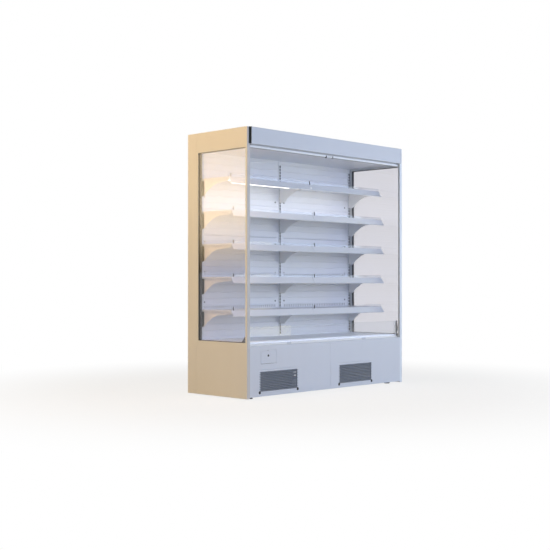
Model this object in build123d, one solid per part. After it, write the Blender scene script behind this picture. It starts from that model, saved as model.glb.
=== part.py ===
"""Open multideck display fridge, built as separate pieces.

Millimetres. X runs along the front from left to right, Y from the front to the rear, Z up.
The origin is on the floor, in the middle of the cabinet's width and depth.
"""
import math
import os

from build123d import *

# ---------------------------------------------------------------- driving sizes
cabinet_width = 1850
cabinet_height = 2000
panel_depth = 655
side_thickness = 30
fascia_proud = 15
sheet = 1.5
wall_thickness = 40
touch_gap = 0.3
running_gap = 0.05
round_sides = 12

# side walls and their windows
side_clear = 10
window_rise = 26
window_top_rail = 151
window_front_stile = 18
window_rear_stile = 121
pane_thickness = 4
pane_recess = 2
gasket_rear_width = 20
gasket_width = 4
seam_width = 1.2
seam_depth = 0.8
skirt_slot_rows = 6
skirt_slot_pitch = 24
skirt_slot_length = 360
skirt_slot_height = 8
rear_seam_inset = 100
panel_edge_radius = 2

# canopy
fascia_height = 124
fascia_top_flange = 60
fascia_bottom_flange = 28
fascia_edge_radius = 2.5
cap_flange = 12
ceiling_drop = 132
outlet_width = 56
outlet_height = 24
outlet_cell = 120
outlet_wall = 2
blind_gap = 5

# night blind
roll_radius = 23.5
roller_rise = 42
shaft_radius = 5
shaft_end = 6
blind_bracket_sheet = 3
blind_bracket_flange = 22
blind_bracket_half = 16
fabric_thickness = 1
fabric_inset = 30
fabric_setback = 20
bar_height = 16
bar_depth = 12
bar_inset = 10
bar_top_gap = 8
bar_edge_radius = 3
grip_width = 66
grip_drop = 10
grip_wall = 3

# uprights and back panels
upright_width = 24
upright_proud = 6
upright_sheet = 2
slot_pitch = 50
slot_width = 7
slot_height = 15
first_slot_above_deck = 16
duct_depth = 52
air_slot_width = 8
air_slot_height = 20
air_slot_pitch = 200
air_slot_rise = 37
air_slot_ceiling_drop = 43
screw_radius = 5
screw_head = 1.6
screw_edge_inset = 40
screw_rises = (289, 520, 756, 1102)

# shelves
level_count = 5
level_pitch = 250
lowest_tray_rise = 218
tray_height = 14
tray_setback = 198
top_tray_shorter = 30
tray_end_gap = 2
tray_joint_gap = 1
rib_hat_width = 40
rail_lean = 30
rail_drop = 47
rail_lip = 4
rail_end_inset = 2
plate_thickness = 2.5
plate_depth = 48
plate_height = 118
plate_corner = 10
hook_length = 8
hook_height = 9
hook_drop = 5
hook_sheet_reach = 5
arm_thickness = 2
arm_front_drop = 27
arm_front_inset = 6
arm_curve_reach = 193
arm_curve_steps = 3
arm_curve_fullness = 0.66
stop_thickness = 2
stop_height = 20
light_depth = 20
light_height = 16
light_inset = 8
light_edge = 6

# deck, air return and riser
base_height = 392
deck_rise = 28
deck_height = 20
return_width = 69.5
return_slat = 5
return_slot = 7
return_bridge = 20
return_slots_in_row = 2
riser_setback = 37.5
riser_thickness = 6
riser_height = 142
riser_end_gap = 3
channel_width = 14
channel_height = 18
channel_floor = 4
channel_break = 50
clip_lower = 3
gusset_depth = 62
gusset_height = 72
tub_underside = 225
tub_front_wall = 46
ledge_width = 20
drain_radius = 16
drain_setback = 40

# lower front
front_clear = 19
front_seam = 2
front_flange = 24
front_foot_flange = 20
grille_inset = 108
grille_width = 396
grille_bottom = 55
grille_height = 146
grille_frame = 6
grille_depth = 8
louvre_inset = 0.5
louvre_pitch = 18
louvre_blade = 12
louvre_sheet = 1.6
louvre_slope = 35
lip_rise = 17
lip_height = 4
lip_proud = 4
lip_side = 18
grille_screw_radius = 5.5
grille_screw_drop = 7
grille_screw_head = 2.5

# controller hatch
hatch_inset = 114
hatch_width = 164
hatch_top_drop = 37
hatch_height = 94.5
hatch_gap = 1.5
hatch_hinge_inset = 3
hatch_hinge_rise = 1.5
hatch_open_gap = 0.5
hatch_ear = 2
hatch_pin_radius = 1.5
hatch_flange_depth = 8
lock_drop = 37
lock_aside = 5
lock_radius = 6
lock_head_radius = 7.5
lock_head = 1.5
lock_tongue_width = 10
lock_tongue_sheet = 2
lock_tongue_reach = 44
pocket_margin = 9
pocket_depth = 36
controller_depth = 22
controller_margin = 14
switch_width = 15
switch_height = 22
switch_proud = 3
switch_depth = 8
switch_inset = 34
switch_pin_radius = 1.5
switch_pin_end = 3
display_inset = 12
display_width = 50
display_height = 24
display_sink = 4
key_count = 4
key_pitch = 13
key_width = 9
key_height = 7
key_drop = 9
key_proud = 1.2

# base frame and feet
frame_bottom = 30
frame_flange = 24
frame_sheet = 2
frame_front_inset = 22
foot_inset_x = 75
foot_inset_y = 60
foot_pad_radius = 24
foot_pad_height = 10
foot_stud_radius = 6
foot_pad_top_radius = 17
foot_nut_radius = 9
foot_nut_height = 8

# refrigeration
condenser_inset = 305
condenser_width = 380
condenser_depth = 44
condenser_height = 150
condenser_front_gap = 24
coil_fin = 2.5
condenser_fin_pitch = 36
evaporator_fin_pitch = 120
coil_end_plate = 3
coil_tube_radius = 5
coil_fin_inset = 1
coil_fin_reach = 6
header_overlap = 2
shroud_depth = 26
shroud_wall = 2
condenser_fan_radius = 62
fan_tip_gap = 4
fan_hub_radius = 20
fan_hub_depth = 18
fan_blade_sheet = 2
fan_blade_pitch = 32
fan_blade_count = 5
motor_radius = 22
motor_length = 38
motor_shaft_radius = 3
motor_bore_depth = 22
shaft_in_motor = 15
hub_motor_gap = 3
strut_width = 6
strut_depth = 4
throat_sides = 16
plate_motor_gap = 14
fan_blade_chord = 0.62
compressor_inset = 605
compressor_y = 20
compressor_radius = 76
compressor_height = 158
compressor_foot = 6
compressor_foot_reach = 96
compressor_pad = 7
weld_flange = 4
shell_sides = 20
evaporator_end_inset = 125
evaporator_setback = 190
evaporator_depth = 250
evaporator_top_gap = 31
fan_plate_setback = 120
fan_plate_flange = 21
evaporator_fan_inset = 475
evaporator_fan_clear = 19.5
pipe_radius = 5
pipe_bend = 24
discharge_reach = 62
stub_length = 4

# ---------------------------------------------------------------- places that follow from the sizes
outer_half = cabinet_width / 2
inner_half = outer_half - side_thickness
fascia_front = -(panel_depth + fascia_proud) / 2
front_y = fascia_front + fascia_proud
rear_y = front_y + panel_depth
wall_front = rear_y - wall_thickness
panel_face = wall_front - duct_depth
upright_face = panel_face - upright_proud
upright_x = (-(inner_half - upright_width / 2), 0, inner_half - upright_width / 2)

window_top = cabinet_height - window_top_rail
window_bottom = base_height + window_rise
window_y = (front_y + window_front_stile, rear_y - window_rear_stile)
window_z = (window_bottom, window_top)
fascia_bottom = cabinet_height - fascia_height
roof_top = cabinet_height - sheet
roof_bottom = roof_top - wall_thickness
roof_front = fascia_front + sheet + fascia_bottom_flange
ceiling_z = cabinet_height - ceiling_drop

fabric_y = front_y + fabric_setback
roller_y = fabric_y + fabric_thickness / 2 + touch_gap + roll_radius
bar_top = fascia_bottom - bar_top_gap
roller_z = bar_top + roller_rise
outlet_front = roller_y + roll_radius + blind_gap

tub_floor = tub_underside + wall_thickness
tub_front = front_y + sheet
tub_wall_top = base_height - sheet
tub_wall_rear = tub_front + tub_front_wall
deck_top = base_height + deck_rise
deck_bottom = deck_top - deck_height
ledge_top = deck_bottom
riser_y = front_y + riser_setback
deck_front_y = riser_y + return_width
lowest_tray_bottom = deck_top + lowest_tray_rise
tray_front_y = front_y + tray_setback
arm_curve_end_y = upright_face - arm_curve_reach

grille_z = (grille_bottom, grille_bottom + grille_height)
hatch_x = (hatch_inset - inner_half, hatch_inset - inner_half + hatch_width)
hatch_bottom = base_height - hatch_top_drop - hatch_height
hatch_z = (hatch_bottom, hatch_bottom + hatch_height)
hinge_y = front_y + hatch_hinge_inset
hinge_z = hatch_bottom + hatch_hinge_rise
hatch_opening_bottom = hinge_z - hatch_hinge_inset - hatch_open_gap
lock_x = sum(hatch_x) / 2 - lock_aside
lock_z = hatch_z[1] - lock_drop
pocket_x = (hatch_x[0] - pocket_margin, hatch_x[1] + pocket_margin)
pocket_z = (hatch_opening_bottom - pocket_margin, hatch_z[1] + pocket_margin)
pocket_rear = tub_front + pocket_depth

frame_top = frame_bottom + frame_sheet
frame_y = (front_y + frame_front_inset, rear_y - sheet)

fan_axis_z = (tub_floor + ledge_top) / 2
fan_plate_y = front_y + fan_plate_setback
evaporator_fan_x = inner_half - evaporator_fan_inset
evaporator_fan_radius = (ledge_top - tub_floor) / 2 - evaporator_fan_clear
evaporator_front_y = front_y + evaporator_setback
evaporator_height = ledge_top - tub_floor - evaporator_top_gap
condenser_x = condenser_inset - inner_half
compressor_x = inner_half - compressor_inset
discharge_z = frame_top + compressor_height * 0.62
suction_z = discharge_z - 2 * pipe_bend
condenser_z = (frame_top, frame_top + condenser_height)
condenser_y = (frame_y[0] + condenser_front_gap, frame_y[0] + condenser_front_gap + condenser_depth)
condenser_axis_z = sum(condenser_z) / 2


# ---------------------------------------------------------------- shapes used again and again
def block(x, y, z):
    """Box between three pairs of limits."""
    middle = Pos((x[0] + x[1]) / 2, (y[0] + y[1]) / 2, (z[0] + z[1]) / 2)
    return middle * Box(x[1] - x[0], y[1] - y[0], z[1] - z[0])


def rod(start, direction, radius, length):
    """Cylinder from a point along a direction."""
    base = (Align.CENTER, Align.CENTER, Align.MIN)
    return Plane(origin=start, z_dir=direction) * Cylinder(radius, length, align=base)


def prism(start, direction, radius, length, sides):
    """Bar with flat sides from a point along a direction. The radius is that of a circle inside it."""
    face = Plane(origin=start, z_dir=direction) * RegularPolygon(radius, sides, major_radius=False)
    return extrude(face, amount=length, dir=direction)


def tapered(face, narrower, height):
    """Bar up from a face, with each side moved in by a distance at the top."""
    lean = math.degrees(math.atan2(narrower, height))
    return extrude(face, amount=height, dir=(0, 0, 1), taper=lean)


def along_x(outline, x):
    """Solid with the given (y, z) outline between two places on X."""
    face = Plane.YZ.offset(x[0]) * make_face(Polyline(*outline, close=True))
    return extrude(face, amount=x[1] - x[0], dir=(1, 0, 0))


def along_y(outline, y):
    """Solid with the given (x, z) outline between two places on Y."""
    plane = Plane(origin=(0, y[0], 0), x_dir=(1, 0, 0), z_dir=(0, -1, 0))
    face = plane * make_face(Polyline(*outline, close=True))
    return extrude(face, amount=y[1] - y[0], dir=(0, 1, 0))


def along_z(outline, z):
    """Solid with the given (x, y) outline between two heights."""
    face = Pos(0, 0, z[0]) * make_face(Polyline(*outline, close=True))
    return extrude(face, amount=z[1] - z[0], dir=(0, 0, 1))


def folded(line, thickness):
    """Closed outline of folded sheet: a line and the same line moved to its left, with mitred corners."""
    moved = []
    for index, point in enumerate(line):
        normals = []
        for a, b in ((index - 1, index), (index, index + 1)):
            if a >= 0 and b < len(line):
                run = (line[b][0] - line[a][0], line[b][1] - line[a][1])
                length = math.hypot(*run)
                normals.append((-run[1] / length, run[0] / length))
        first, last = normals[0], normals[-1]
        scale = thickness / (1 + first[0] * last[0] + first[1] * last[1])
        if len(normals) == 1:
            scale = thickness / 2
        moved.append((point[0] + scale * (first[0] + last[0]), point[1] + scale * (first[1] + last[1])))
    return list(line) + moved[::-1]


def pan(x, y, z, thickness):
    """Folded sheet tray, open below."""
    hollow = block((x[0] + thickness, x[1] - thickness), (y[0] + thickness, y[1] - thickness),
                   (z[0] - 1, z[1] - thickness))
    return block(x, y, z) - hollow


def mirrored(near, far):
    """Limits on X, left and right, of a piece between two distances from the cabinet's middle."""
    return ((-far, -near), (near, far))


def bays():
    """Limits on X of the left and the right bay."""
    return ((-inner_half, 0), (0, inner_half))


def write(name, *solids):
    """Write one node, with each piece as a solid of its own."""
    pieces = [solid for shape in solids for solid in shape.solids()]
    export_step(Compound(children=pieces), os.path.join("parts", name + ".step"))


# ---------------------------------------------------------------- cabinet shell
def side_panel(x):
    """Foamed side wall with its window opening, rounded outer edges and the seams of its skin."""
    outside = x[0] if x[0] < 0 else x[1]
    inward = 1 if x[0] < 0 else -1
    wall = block(x, (front_y, rear_y), (side_clear, cabinet_height))
    upright_edges = wall.edges().filter_by(Axis.Z).filter_by_position(Axis.X, outside - 1, outside + 1)
    wall = fillet(upright_edges, panel_edge_radius)
    wall -= block((x[0] - 1, x[1] + 1), window_y, window_z)
    skin = sorted((outside - inward, outside + inward * seam_depth))
    rear_seam_y = rear_y - rear_seam_inset
    wall -= block(skin, (rear_seam_y, rear_seam_y + seam_width), (side_clear - 1, cabinet_height + 1))
    wall -= block(skin, (front_y - 1, rear_seam_y), (fascia_bottom, fascia_bottom + seam_width))
    return wall


def pane_limits(x):
    """Limits on X of the outer pane, the space between the panes and the inner pane."""
    first = (x[0] + pane_recess, x[0] + pane_recess + pane_thickness)
    second = (x[1] - pane_recess - pane_thickness, x[1] - pane_recess)
    return first, (first[1], second[0]), second


def window_panes(x):
    """The two panes of one side window."""
    first, _, second = pane_limits(x)
    return [block(limits, window_y, window_z) for limits in (first, second)]


def window_gasket(x):
    """Black spacer frame between the panes, wide along the rear."""
    _, between, _ = pane_limits(x)
    clear_y = (window_y[0] + gasket_width, window_y[1] - gasket_rear_width)
    clear_z = (window_z[0] + gasket_width, window_z[1] - gasket_width)
    return block(between, window_y, window_z) - block((between[0] - 1, between[1] + 1), clear_y, clear_z)


def roof_panel():
    """Insulated roof between the side walls."""
    return block((-inner_half, inner_half), (roof_front, rear_y), (roof_bottom, roof_top))


def rear_wall():
    """Insulated rear wall between the side walls, over the machine space."""
    return block((-inner_half, inner_half), (wall_front, rear_y), (tub_underside, roof_bottom))


def rear_skirt():
    """Sheet behind the machine space, with two fields of air slots."""
    plate = block((-inner_half, inner_half), (rear_y - sheet, rear_y), (frame_bottom, tub_underside))
    lowest = (frame_bottom + tub_underside) / 2 - skirt_slot_pitch * (skirt_slot_rows - 1) / 2
    for middle in (-inner_half / 2, inner_half / 2):
        x = (middle - skirt_slot_length / 2, middle + skirt_slot_length / 2)
        for row in range(skirt_slot_rows):
            height = lowest + row * skirt_slot_pitch
            z = (height - skirt_slot_height / 2, height + skirt_slot_height / 2)
            plate -= block(x, (rear_y - 2 * sheet, rear_y + 1), z)
    return plate


# ---------------------------------------------------------------- canopy
def fascia_panel():
    """Folded fascia: a flange on the roof, the tall face, and a flange under it with a safe edge."""
    line = [(fascia_front + fascia_top_flange, cabinet_height),
            (fascia_front, cabinet_height),
            (fascia_front, fascia_bottom),
            (fascia_front + fascia_bottom_flange, fascia_bottom),
            (fascia_front + fascia_bottom_flange, fascia_bottom + fascia_bottom_flange / 2)]
    body = along_x(folded(line, sheet), (-inner_half + sheet, inner_half - sheet))
    near = (fascia_front - touch_gap, fascia_front + touch_gap)
    return fillet(body.edges().filter_by(Axis.X).filter_by_position(Axis.Y, *near), fascia_edge_radius)


def fascia_end_cap(side):
    """Black cap over the end of the fascia, with a flange on the side wall's front edge."""
    z = (fascia_bottom, cabinet_height)
    plate = sorted((side * (inner_half - sheet), side * inner_half))
    flange = sorted((side * (inner_half - sheet), side * (inner_half + cap_flange)))
    cap = block(plate, (fascia_front, roof_front), z)
    return cap + block(flange, (front_y - sheet, front_y), z)


def ceiling_panel():
    """Ceiling of the display space, folded up along the air outlet."""
    front = outlet_front + sheet + outlet_width
    line = [(front, ceiling_z + outlet_height), (front, ceiling_z), (wall_front, ceiling_z)]
    return along_x(folded(line, sheet), (-inner_half, inner_half))


def air_outlet():
    """Air duct front wall with the cell grid that straightens the air curtain."""
    x = (-inner_half, inner_half)
    front_wall = block(x, (outlet_front, outlet_front + sheet), (ceiling_z, roof_bottom))
    y = (outlet_front + sheet, outlet_front + sheet + outlet_width)
    grid = block(x, y, (ceiling_z, ceiling_z + outlet_height))
    cells = int((2 * inner_half - outlet_wall) // (outlet_cell + outlet_wall))
    start = -cells * (outlet_cell + outlet_wall) / 2
    holes = []
    for cell in range(cells):
        left = start + cell * (outlet_cell + outlet_wall) + outlet_wall / 2
        holes.append(block((left, left + outlet_cell), (y[0] + outlet_wall, y[1] - outlet_wall),
                           (ceiling_z - 1, ceiling_z + outlet_height + 1)))
    return front_wall, grid - holes


# ---------------------------------------------------------------- night blind
def blind_roller():
    """Roller with the wound blind, and the two ends of its shaft."""
    half = inner_half - fabric_inset
    shaft_half = inner_half - shaft_end
    roll = rod((-half, roller_y, roller_z), (1, 0, 0), roll_radius, 2 * half)
    return roll + rod((-shaft_half, roller_y, roller_z), (1, 0, 0), shaft_radius, 2 * shaft_half)


def blind_bracket(side):
    """Bracket that carries one end of the roller from the roof."""
    outer = inner_half - shaft_end - 1
    plate = sorted((side * (outer - blind_bracket_sheet), side * outer))
    flange = sorted((side * (outer - blind_bracket_flange), side * outer))
    half = blind_bracket_half
    y = (roller_y - half, roller_y + half)
    cheek = block(plate, y, (roller_z - half, roof_bottom))
    lower_edges = cheek.edges().filter_by(Axis.X).sort_by(Axis.Z)[:2]
    cheek = chamfer(lower_edges, half / 2)
    foot = block(flange, y, (roof_bottom - blind_bracket_sheet, roof_bottom))
    hole = rod((plate[0] - 1, roller_y, roller_z), (1, 0, 0), shaft_radius + running_gap,
               blind_bracket_sheet + 2)
    return cheek + foot - hole


def blind_fabric():
    """Free stretch of the blind between the roller and the pull bar."""
    half = inner_half - fabric_inset
    y = (fabric_y - fabric_thickness / 2, fabric_y + fabric_thickness / 2)
    return block((-half, half), y, (bar_top, roller_z))


def blind_pull_bar():
    """Rounded bar along the lower edge of the blind."""
    half = inner_half - bar_inset
    y = (fabric_y - bar_depth / 2, fabric_y + bar_depth / 2)
    bar = block((-half, half), y, (bar_top - bar_height, bar_top))
    return fillet(bar.edges().filter_by(Axis.X), bar_edge_radius)


def blind_grip():
    """Grip clipped round the front and underside of the pull bar, with a lug at each end."""
    front = fabric_y - bar_depth / 2
    bottom = bar_top - bar_height
    half = grip_width / 2
    line = [(front, bottom + bar_height * 0.8), (front, bottom), (front + bar_depth, bottom)]
    clip = along_x(folded(line, -grip_wall), (-half, half))
    lug = [(front, bottom - grip_wall), (front - grip_wall, bottom - grip_wall),
           (front - grip_wall * 1.6, bottom - grip_drop), (front + grip_wall, bottom - grip_drop)]
    lugs = [along_x(lug, limits) for limits in mirrored(half - grip_wall, half)]
    return clip + lugs


# ---------------------------------------------------------------- uprights and back panels
def upright(x):
    """Channel post with a column of slots for the shelf brackets."""
    half = upright_width / 2
    line = [(x + half, wall_front), (x + half, upright_face),
            (x - half, upright_face), (x - half, wall_front)]
    post = along_z(folded(line, -upright_sheet), (tub_floor, ceiling_z))
    first = deck_top + first_slot_above_deck
    slots = []
    for index in range(int((ceiling_z - slot_pitch - first) // slot_pitch)):
        bottom = first + index * slot_pitch
        slots.append(block((x - slot_width / 2, x + slot_width / 2),
                           (upright_face - 1, upright_face + upright_sheet + 1),
                           (bottom, bottom + slot_height)))
    return post - slots


def panel_x(bay):
    """Limits on X of a back panel: between its two uprights."""
    return (bay[0] + (upright_width if bay[0] < 0 else upright_width / 2),
            bay[1] - (upright_width if bay[1] > 0 else upright_width / 2))


def air_slot_heights():
    """Heights of the rows of air slots: one over each shelf but the top one, and one under the ceiling."""
    over_shelves = [tray_bottom(level + 1) + air_slot_rise for level in range(level_count - 1)]
    return over_shelves + [ceiling_z - air_slot_ceiling_drop]


def back_panel(bay):
    """Sheet from upright to upright with rows of air slots."""
    x = panel_x(bay)
    panel = block(x, (panel_face, panel_face + sheet), (deck_top, ceiling_z))
    count = int((x[1] - x[0]) // air_slot_pitch)
    start = (x[0] + x[1]) / 2 - (count - 1) * air_slot_pitch / 2
    slots = []
    for height in air_slot_heights():
        for index in range(count):
            left = start + index * air_slot_pitch
            slots.append(block((left - air_slot_width / 2, left + air_slot_width / 2),
                               (panel_face - sheet, panel_face + 2 * sheet),
                               (height - air_slot_height / 2, height + air_slot_height / 2)))
    return panel - slots


def back_panel_screws():
    """Low heads of the screws along both ends of each back panel."""
    heads = []
    for bay in bays():
        x = panel_x(bay)
        for place in (x[0] + screw_edge_inset, x[1] - screw_edge_inset):
            for rise in screw_rises:
                start = (place, panel_face, deck_top + rise)
                heads.append(prism(start, (0, -1, 0), screw_radius, screw_head, 6))
    return heads


# ---------------------------------------------------------------- shelves
def tray_bottom(level):
    """Height of the underside of the trays on a level, counted from the lowest."""
    return lowest_tray_bottom + level * level_pitch


def front_of(level):
    """Front of the trays on a level. The top row is shorter, so that light falls past it."""
    return tray_front_y + (top_tray_shorter if level == level_count - 1 else 0)


def tray_x(bay):
    """Limits on X of a tray: clear of the side wall, and half a joint gap from the next tray."""
    return (bay[0] + (tray_end_gap if bay[0] < 0 else tray_joint_gap / 2),
            bay[1] - (tray_end_gap if bay[1] > 0 else tray_joint_gap / 2))


def shelf_tray(bay, level):
    """Folded shelf, open below, with a stiffening hat along its middle."""
    x = tray_x(bay)
    z = (tray_bottom(level), tray_bottom(level) + tray_height)
    y = (front_of(level), upright_face - touch_gap)
    tray = pan(x, y, z, sheet)
    arm_space = 4 * (plate_thickness + arm_thickness)
    middle = (y[0] + y[1]) / 2
    hat = block((x[0] + arm_space, x[1] - arm_space),
                (middle - rib_hat_width / 2, middle + rib_hat_width / 2),
                (z[0] + sheet, z[1] - sheet))
    return tray + hat


def price_rail(bay, level):
    """Leaning label rail hooked on the front of a tray, with a lip above and below the label."""
    x = tray_x(bay)
    top = tray_bottom(level) + tray_height
    front = front_of(level)
    line = [(front - rail_lean - rail_lip, top - rail_drop + rail_lip),
            (front - rail_lean, top - rail_drop),
            (front, top),
            (front, top - tray_height)]
    return along_x(folded(line, -sheet), (x[0] + rail_end_inset, x[1] - rail_end_inset))


def hook_plate_x(bay):
    """Limits on X of the two hook plates of a bay: in the end upright's slots, and beside the middle."""
    middle = (tray_joint_gap / 2, tray_joint_gap / 2 + plate_thickness)
    end = (upright_x[2] - plate_thickness / 2, upright_x[2] + plate_thickness / 2)
    if bay[0] < 0:
        return (-end[1], -end[0]), (-middle[1], -middle[0])
    return middle, end


def hook_plate(x, level):
    """Plate outside a shelf arm's root: a lug for one slot of the upright, and a hook for the next."""
    top = tray_bottom(level)
    rear = upright_face - touch_gap
    front = rear - plate_depth
    behind = upright_face + upright_sheet + touch_gap
    tip = upright_face + upright_sheet + hook_length
    outline = [(rear, top), (front, top), (front, top - plate_height + plate_corner),
               (front + plate_corner, top - plate_height), (rear, top - plate_height)]
    lug, hook = [slot_bottom + hook_sheet_reach for slot_bottom in hook_slots(level)]
    outline += [(rear, lug), (tip, lug), (tip, lug + hook_height), (rear, lug + hook_height)]
    outline += [(rear, hook), (behind, hook), (behind, hook - hook_drop), (tip, hook - hook_drop),
                (tip, hook + hook_height), (rear, hook + hook_height)]
    return along_x(outline, x)


def hook_slots(level):
    """Lower ends of the two slots that a hook plate on this level uses."""
    first = deck_top + first_slot_above_deck
    lowest = tray_bottom(level) - plate_height + hook_drop
    index = math.ceil((lowest - first) / slot_pitch)
    return [first + index * slot_pitch, first + (index + 1) * slot_pitch]


def arm_x(bay):
    """Limits on X of the two arms of a bay, each on the inner side of its hook plate."""
    left, right = hook_plate_x(bay)
    return (left[1], left[1] + arm_thickness), (right[0] - arm_thickness, right[0])


def shelf_arm(x, level):
    """Tapered arm beside its hook plate, with a hollow curve along its lower edge."""
    top = tray_bottom(level) + tray_height - sheet
    line_z = tray_bottom(level)
    rear = upright_face - touch_gap
    front = front_of(level) + sheet + arm_front_inset
    tray_rear = rear - sheet - touch_gap
    root = (rear - plate_depth, line_z - plate_height)
    shoulder = (arm_curve_end_y, line_z - arm_front_drop)
    curve = []
    for step in range(arm_curve_steps + 1):
        angle = math.pi / 2 * step / arm_curve_steps
        across = 1 - math.cos(angle) ** (1 / arm_curve_fullness)
        down = 1 - math.sin(angle) ** (1 / arm_curve_fullness)
        curve.append((root[0] + (shoulder[0] - root[0]) * across,
                      shoulder[1] + (root[1] - shoulder[1]) * down))
    outline = [(tray_rear, top), (tray_rear, line_z), (rear, line_z), (rear, root[1])]
    outline += curve + [(front, line_z - arm_front_drop / 2), (front, top)]
    return along_x(outline, x)


def product_stop(bay, level):
    """Low clear strip along the front of a tray."""
    x = tray_x(bay)
    top = tray_bottom(level) + tray_height
    y = (front_of(level) + sheet, front_of(level) + sheet + stop_thickness)
    return block((x[0] + rail_end_inset, x[1] - rail_end_inset), y, (top, top + stop_height))


def shelf_light(bay):
    """Light bar under the front of a top tray: a rounded housing with a flat lens."""
    left, right = arm_x(bay)
    bottom = tray_bottom(level_count - 1)
    y = front_of(level_count - 1) + light_inset
    x = (left[1] + touch_gap, right[0] - touch_gap)
    bar = block(x, (y, y + light_depth), (bottom - light_height, bottom))
    lower = bar.edges().filter_by(Axis.X).sort_by(Axis.Z)[:2]
    return chamfer(lower, light_edge)


# ---------------------------------------------------------------- deck, air return and riser
def deck_tray(bay):
    """Lift-out bottom shelf over the evaporator."""
    x = (bay[0] + (touch_gap if bay[0] < 0 else tray_joint_gap / 2),
         bay[1] - (touch_gap if bay[1] > 0 else tray_joint_gap / 2))
    tray = pan(x, (deck_front_y, upright_face - touch_gap), (deck_bottom, deck_top), sheet)
    back_x = (bay[0] + (upright_width if bay[0] < 0 else upright_width / 2) + touch_gap,
              bay[1] - (upright_width if bay[1] > 0 else upright_width / 2) - touch_gap)
    lip_y = (upright_face - touch_gap - sheet, panel_face)
    lip = block(back_x, lip_y, (deck_top - sheet, deck_top))
    return tray + lip


def air_return_grille(bay):
    """Slotted strip between the riser and the deck, through which the cold air returns."""
    x = (bay[0] + (touch_gap if bay[0] < 0 else tray_joint_gap / 2),
         bay[1] - (touch_gap if bay[1] > 0 else tray_joint_gap / 2))
    front = riser_y + channel_width / 2 + touch_gap
    rear = deck_front_y - touch_gap
    line = [(rear, deck_bottom), (rear, deck_top - sheet), (front, deck_top - sheet), (front, tub_wall_top)]
    strip = along_x(folded(line, sheet), x)
    across = rear - front - 2 * sheet
    rows = int(across // (return_slat + return_slot))
    share = (x[1] - x[0]) / return_slots_in_row
    slots = []
    for row in range(rows):
        y = front + sheet + return_slat + row * (return_slat + return_slot)
        for index in range(return_slots_in_row):
            left = x[0] + index * share
            slots.append(block((left + return_bridge / 2, left + share - return_bridge / 2),
                               (y, y + return_slot), (deck_top - 3 * sheet, deck_top + 1)))
    return strip - slots


def riser_glass():
    """Clear pane along the front edge of the deck."""
    y = (riser_y - riser_thickness / 2, riser_y + riser_thickness / 2)
    half = inner_half - riser_end_gap
    return block((-half, half), y, (tub_wall_top + channel_floor, base_height + riser_height))


def riser_channel():
    """White channel that holds the riser pane, in three lengths with a break in the middle of each bay."""
    y = (riser_y - channel_width / 2, riser_y + channel_width / 2)
    slot = (riser_y - riser_thickness / 2, riser_y + riser_thickness / 2)
    top = tub_wall_top + channel_height
    half_break = channel_break / 2
    lengths = ((-inner_half, -inner_half / 2 - half_break),
               (-inner_half / 2 + half_break, inner_half / 2 - half_break),
               (inner_half / 2 + half_break, inner_half))
    channels = []
    for x in lengths:
        groove = block((x[0] - 1, x[1] + 1), slot, (tub_wall_top + channel_floor, top + 1))
        channels.append(block(x, y, (tub_wall_top, top)) - groove)
    return channels


def riser_bracket(side):
    """Triangular plate that steadies one end of the riser pane against the side wall."""
    x = sorted((side * (inner_half - riser_end_gap + touch_gap), side * inner_half))
    front = riser_y - channel_width / 2 - touch_gap - riser_thickness
    outline = [(front, deck_top), (front, deck_top + gusset_height), (front + gusset_depth, deck_top)]
    return along_x(outline, x)


def riser_clip(side):
    """Grey clip that holds the pane where the channel is broken."""
    half = channel_break / 2
    middle = side * inner_half / 2
    x = (middle - half, middle + half)
    y = (riser_y - channel_width / 2, riser_y + channel_width / 2)
    top = tub_wall_top + channel_height - clip_lower
    slot = block((x[0] - 1, x[1] + 1), (riser_y - riser_thickness / 2, riser_y + riser_thickness / 2),
                 (tub_wall_top + channel_floor, top + 1))
    return block(x, y, (tub_wall_top, top)) - slot


def base_tub():
    """Insulated tub for the evaporator: floor, front wall with the controller pocket, side ledges."""
    x = (-inner_half, inner_half)
    tub = block(x, (tub_front, wall_front), (tub_underside, tub_floor))
    tub += block(x, (tub_front, tub_wall_rear), (tub_floor, tub_wall_top))
    for limits in mirrored(inner_half - ledge_width, inner_half):
        tub += block(limits, (tub_wall_rear, upright_face - touch_gap), (tub_floor, ledge_top))
    tub -= block(pocket_x, (tub_front - 1, pocket_rear), pocket_z)
    drain_y = evaporator_front_y + evaporator_depth + drain_setback
    start = (0, drain_y, tub_underside - 1)
    return tub - prism(start, (0, 0, 1), drain_radius, wall_thickness + 2, round_sides)


# ---------------------------------------------------------------- lower front
def front_panel_x(bay):
    """Limits on X of a lower front panel: from the side wall to the seam in the middle."""
    return (bay[0] + (0 if bay[0] < 0 else front_seam / 2),
            bay[1] - (0 if bay[1] > 0 else front_seam / 2))


def grille_x(bay):
    """Limits on X of the air grille of a front panel."""
    left = bay[0] + grille_inset
    return left, left + grille_width


def front_panel(bay):
    """Folded lower front panel with its grille opening and the lip over it."""
    x = front_panel_x(bay)
    line = [(front_y + front_flange, base_height),
            (front_y, base_height),
            (front_y, front_clear),
            (front_y + front_foot_flange, front_clear)]
    panel = along_x(folded(line, sheet), x)
    grille = grille_x(bay)
    panel -= block(grille, (front_y - 1, front_y + 2 * sheet), grille_z)
    lip_z = grille_z[1] + lip_rise
    wedge = [(front_y, lip_z), (front_y - lip_proud, lip_z - lip_height / 2), (front_y, lip_z - lip_height)]
    return panel + along_x(wedge, (grille[0] - lip_side, grille[1] + lip_side))


def hatch_opening():
    """Space cut from the left front panel for the controller hatch."""
    return block((hatch_x[0] - hatch_gap, hatch_x[1] + hatch_gap), (front_y - 1, front_y + 2 * sheet),
                 (hatch_opening_bottom, hatch_z[1] + hatch_gap))


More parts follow.
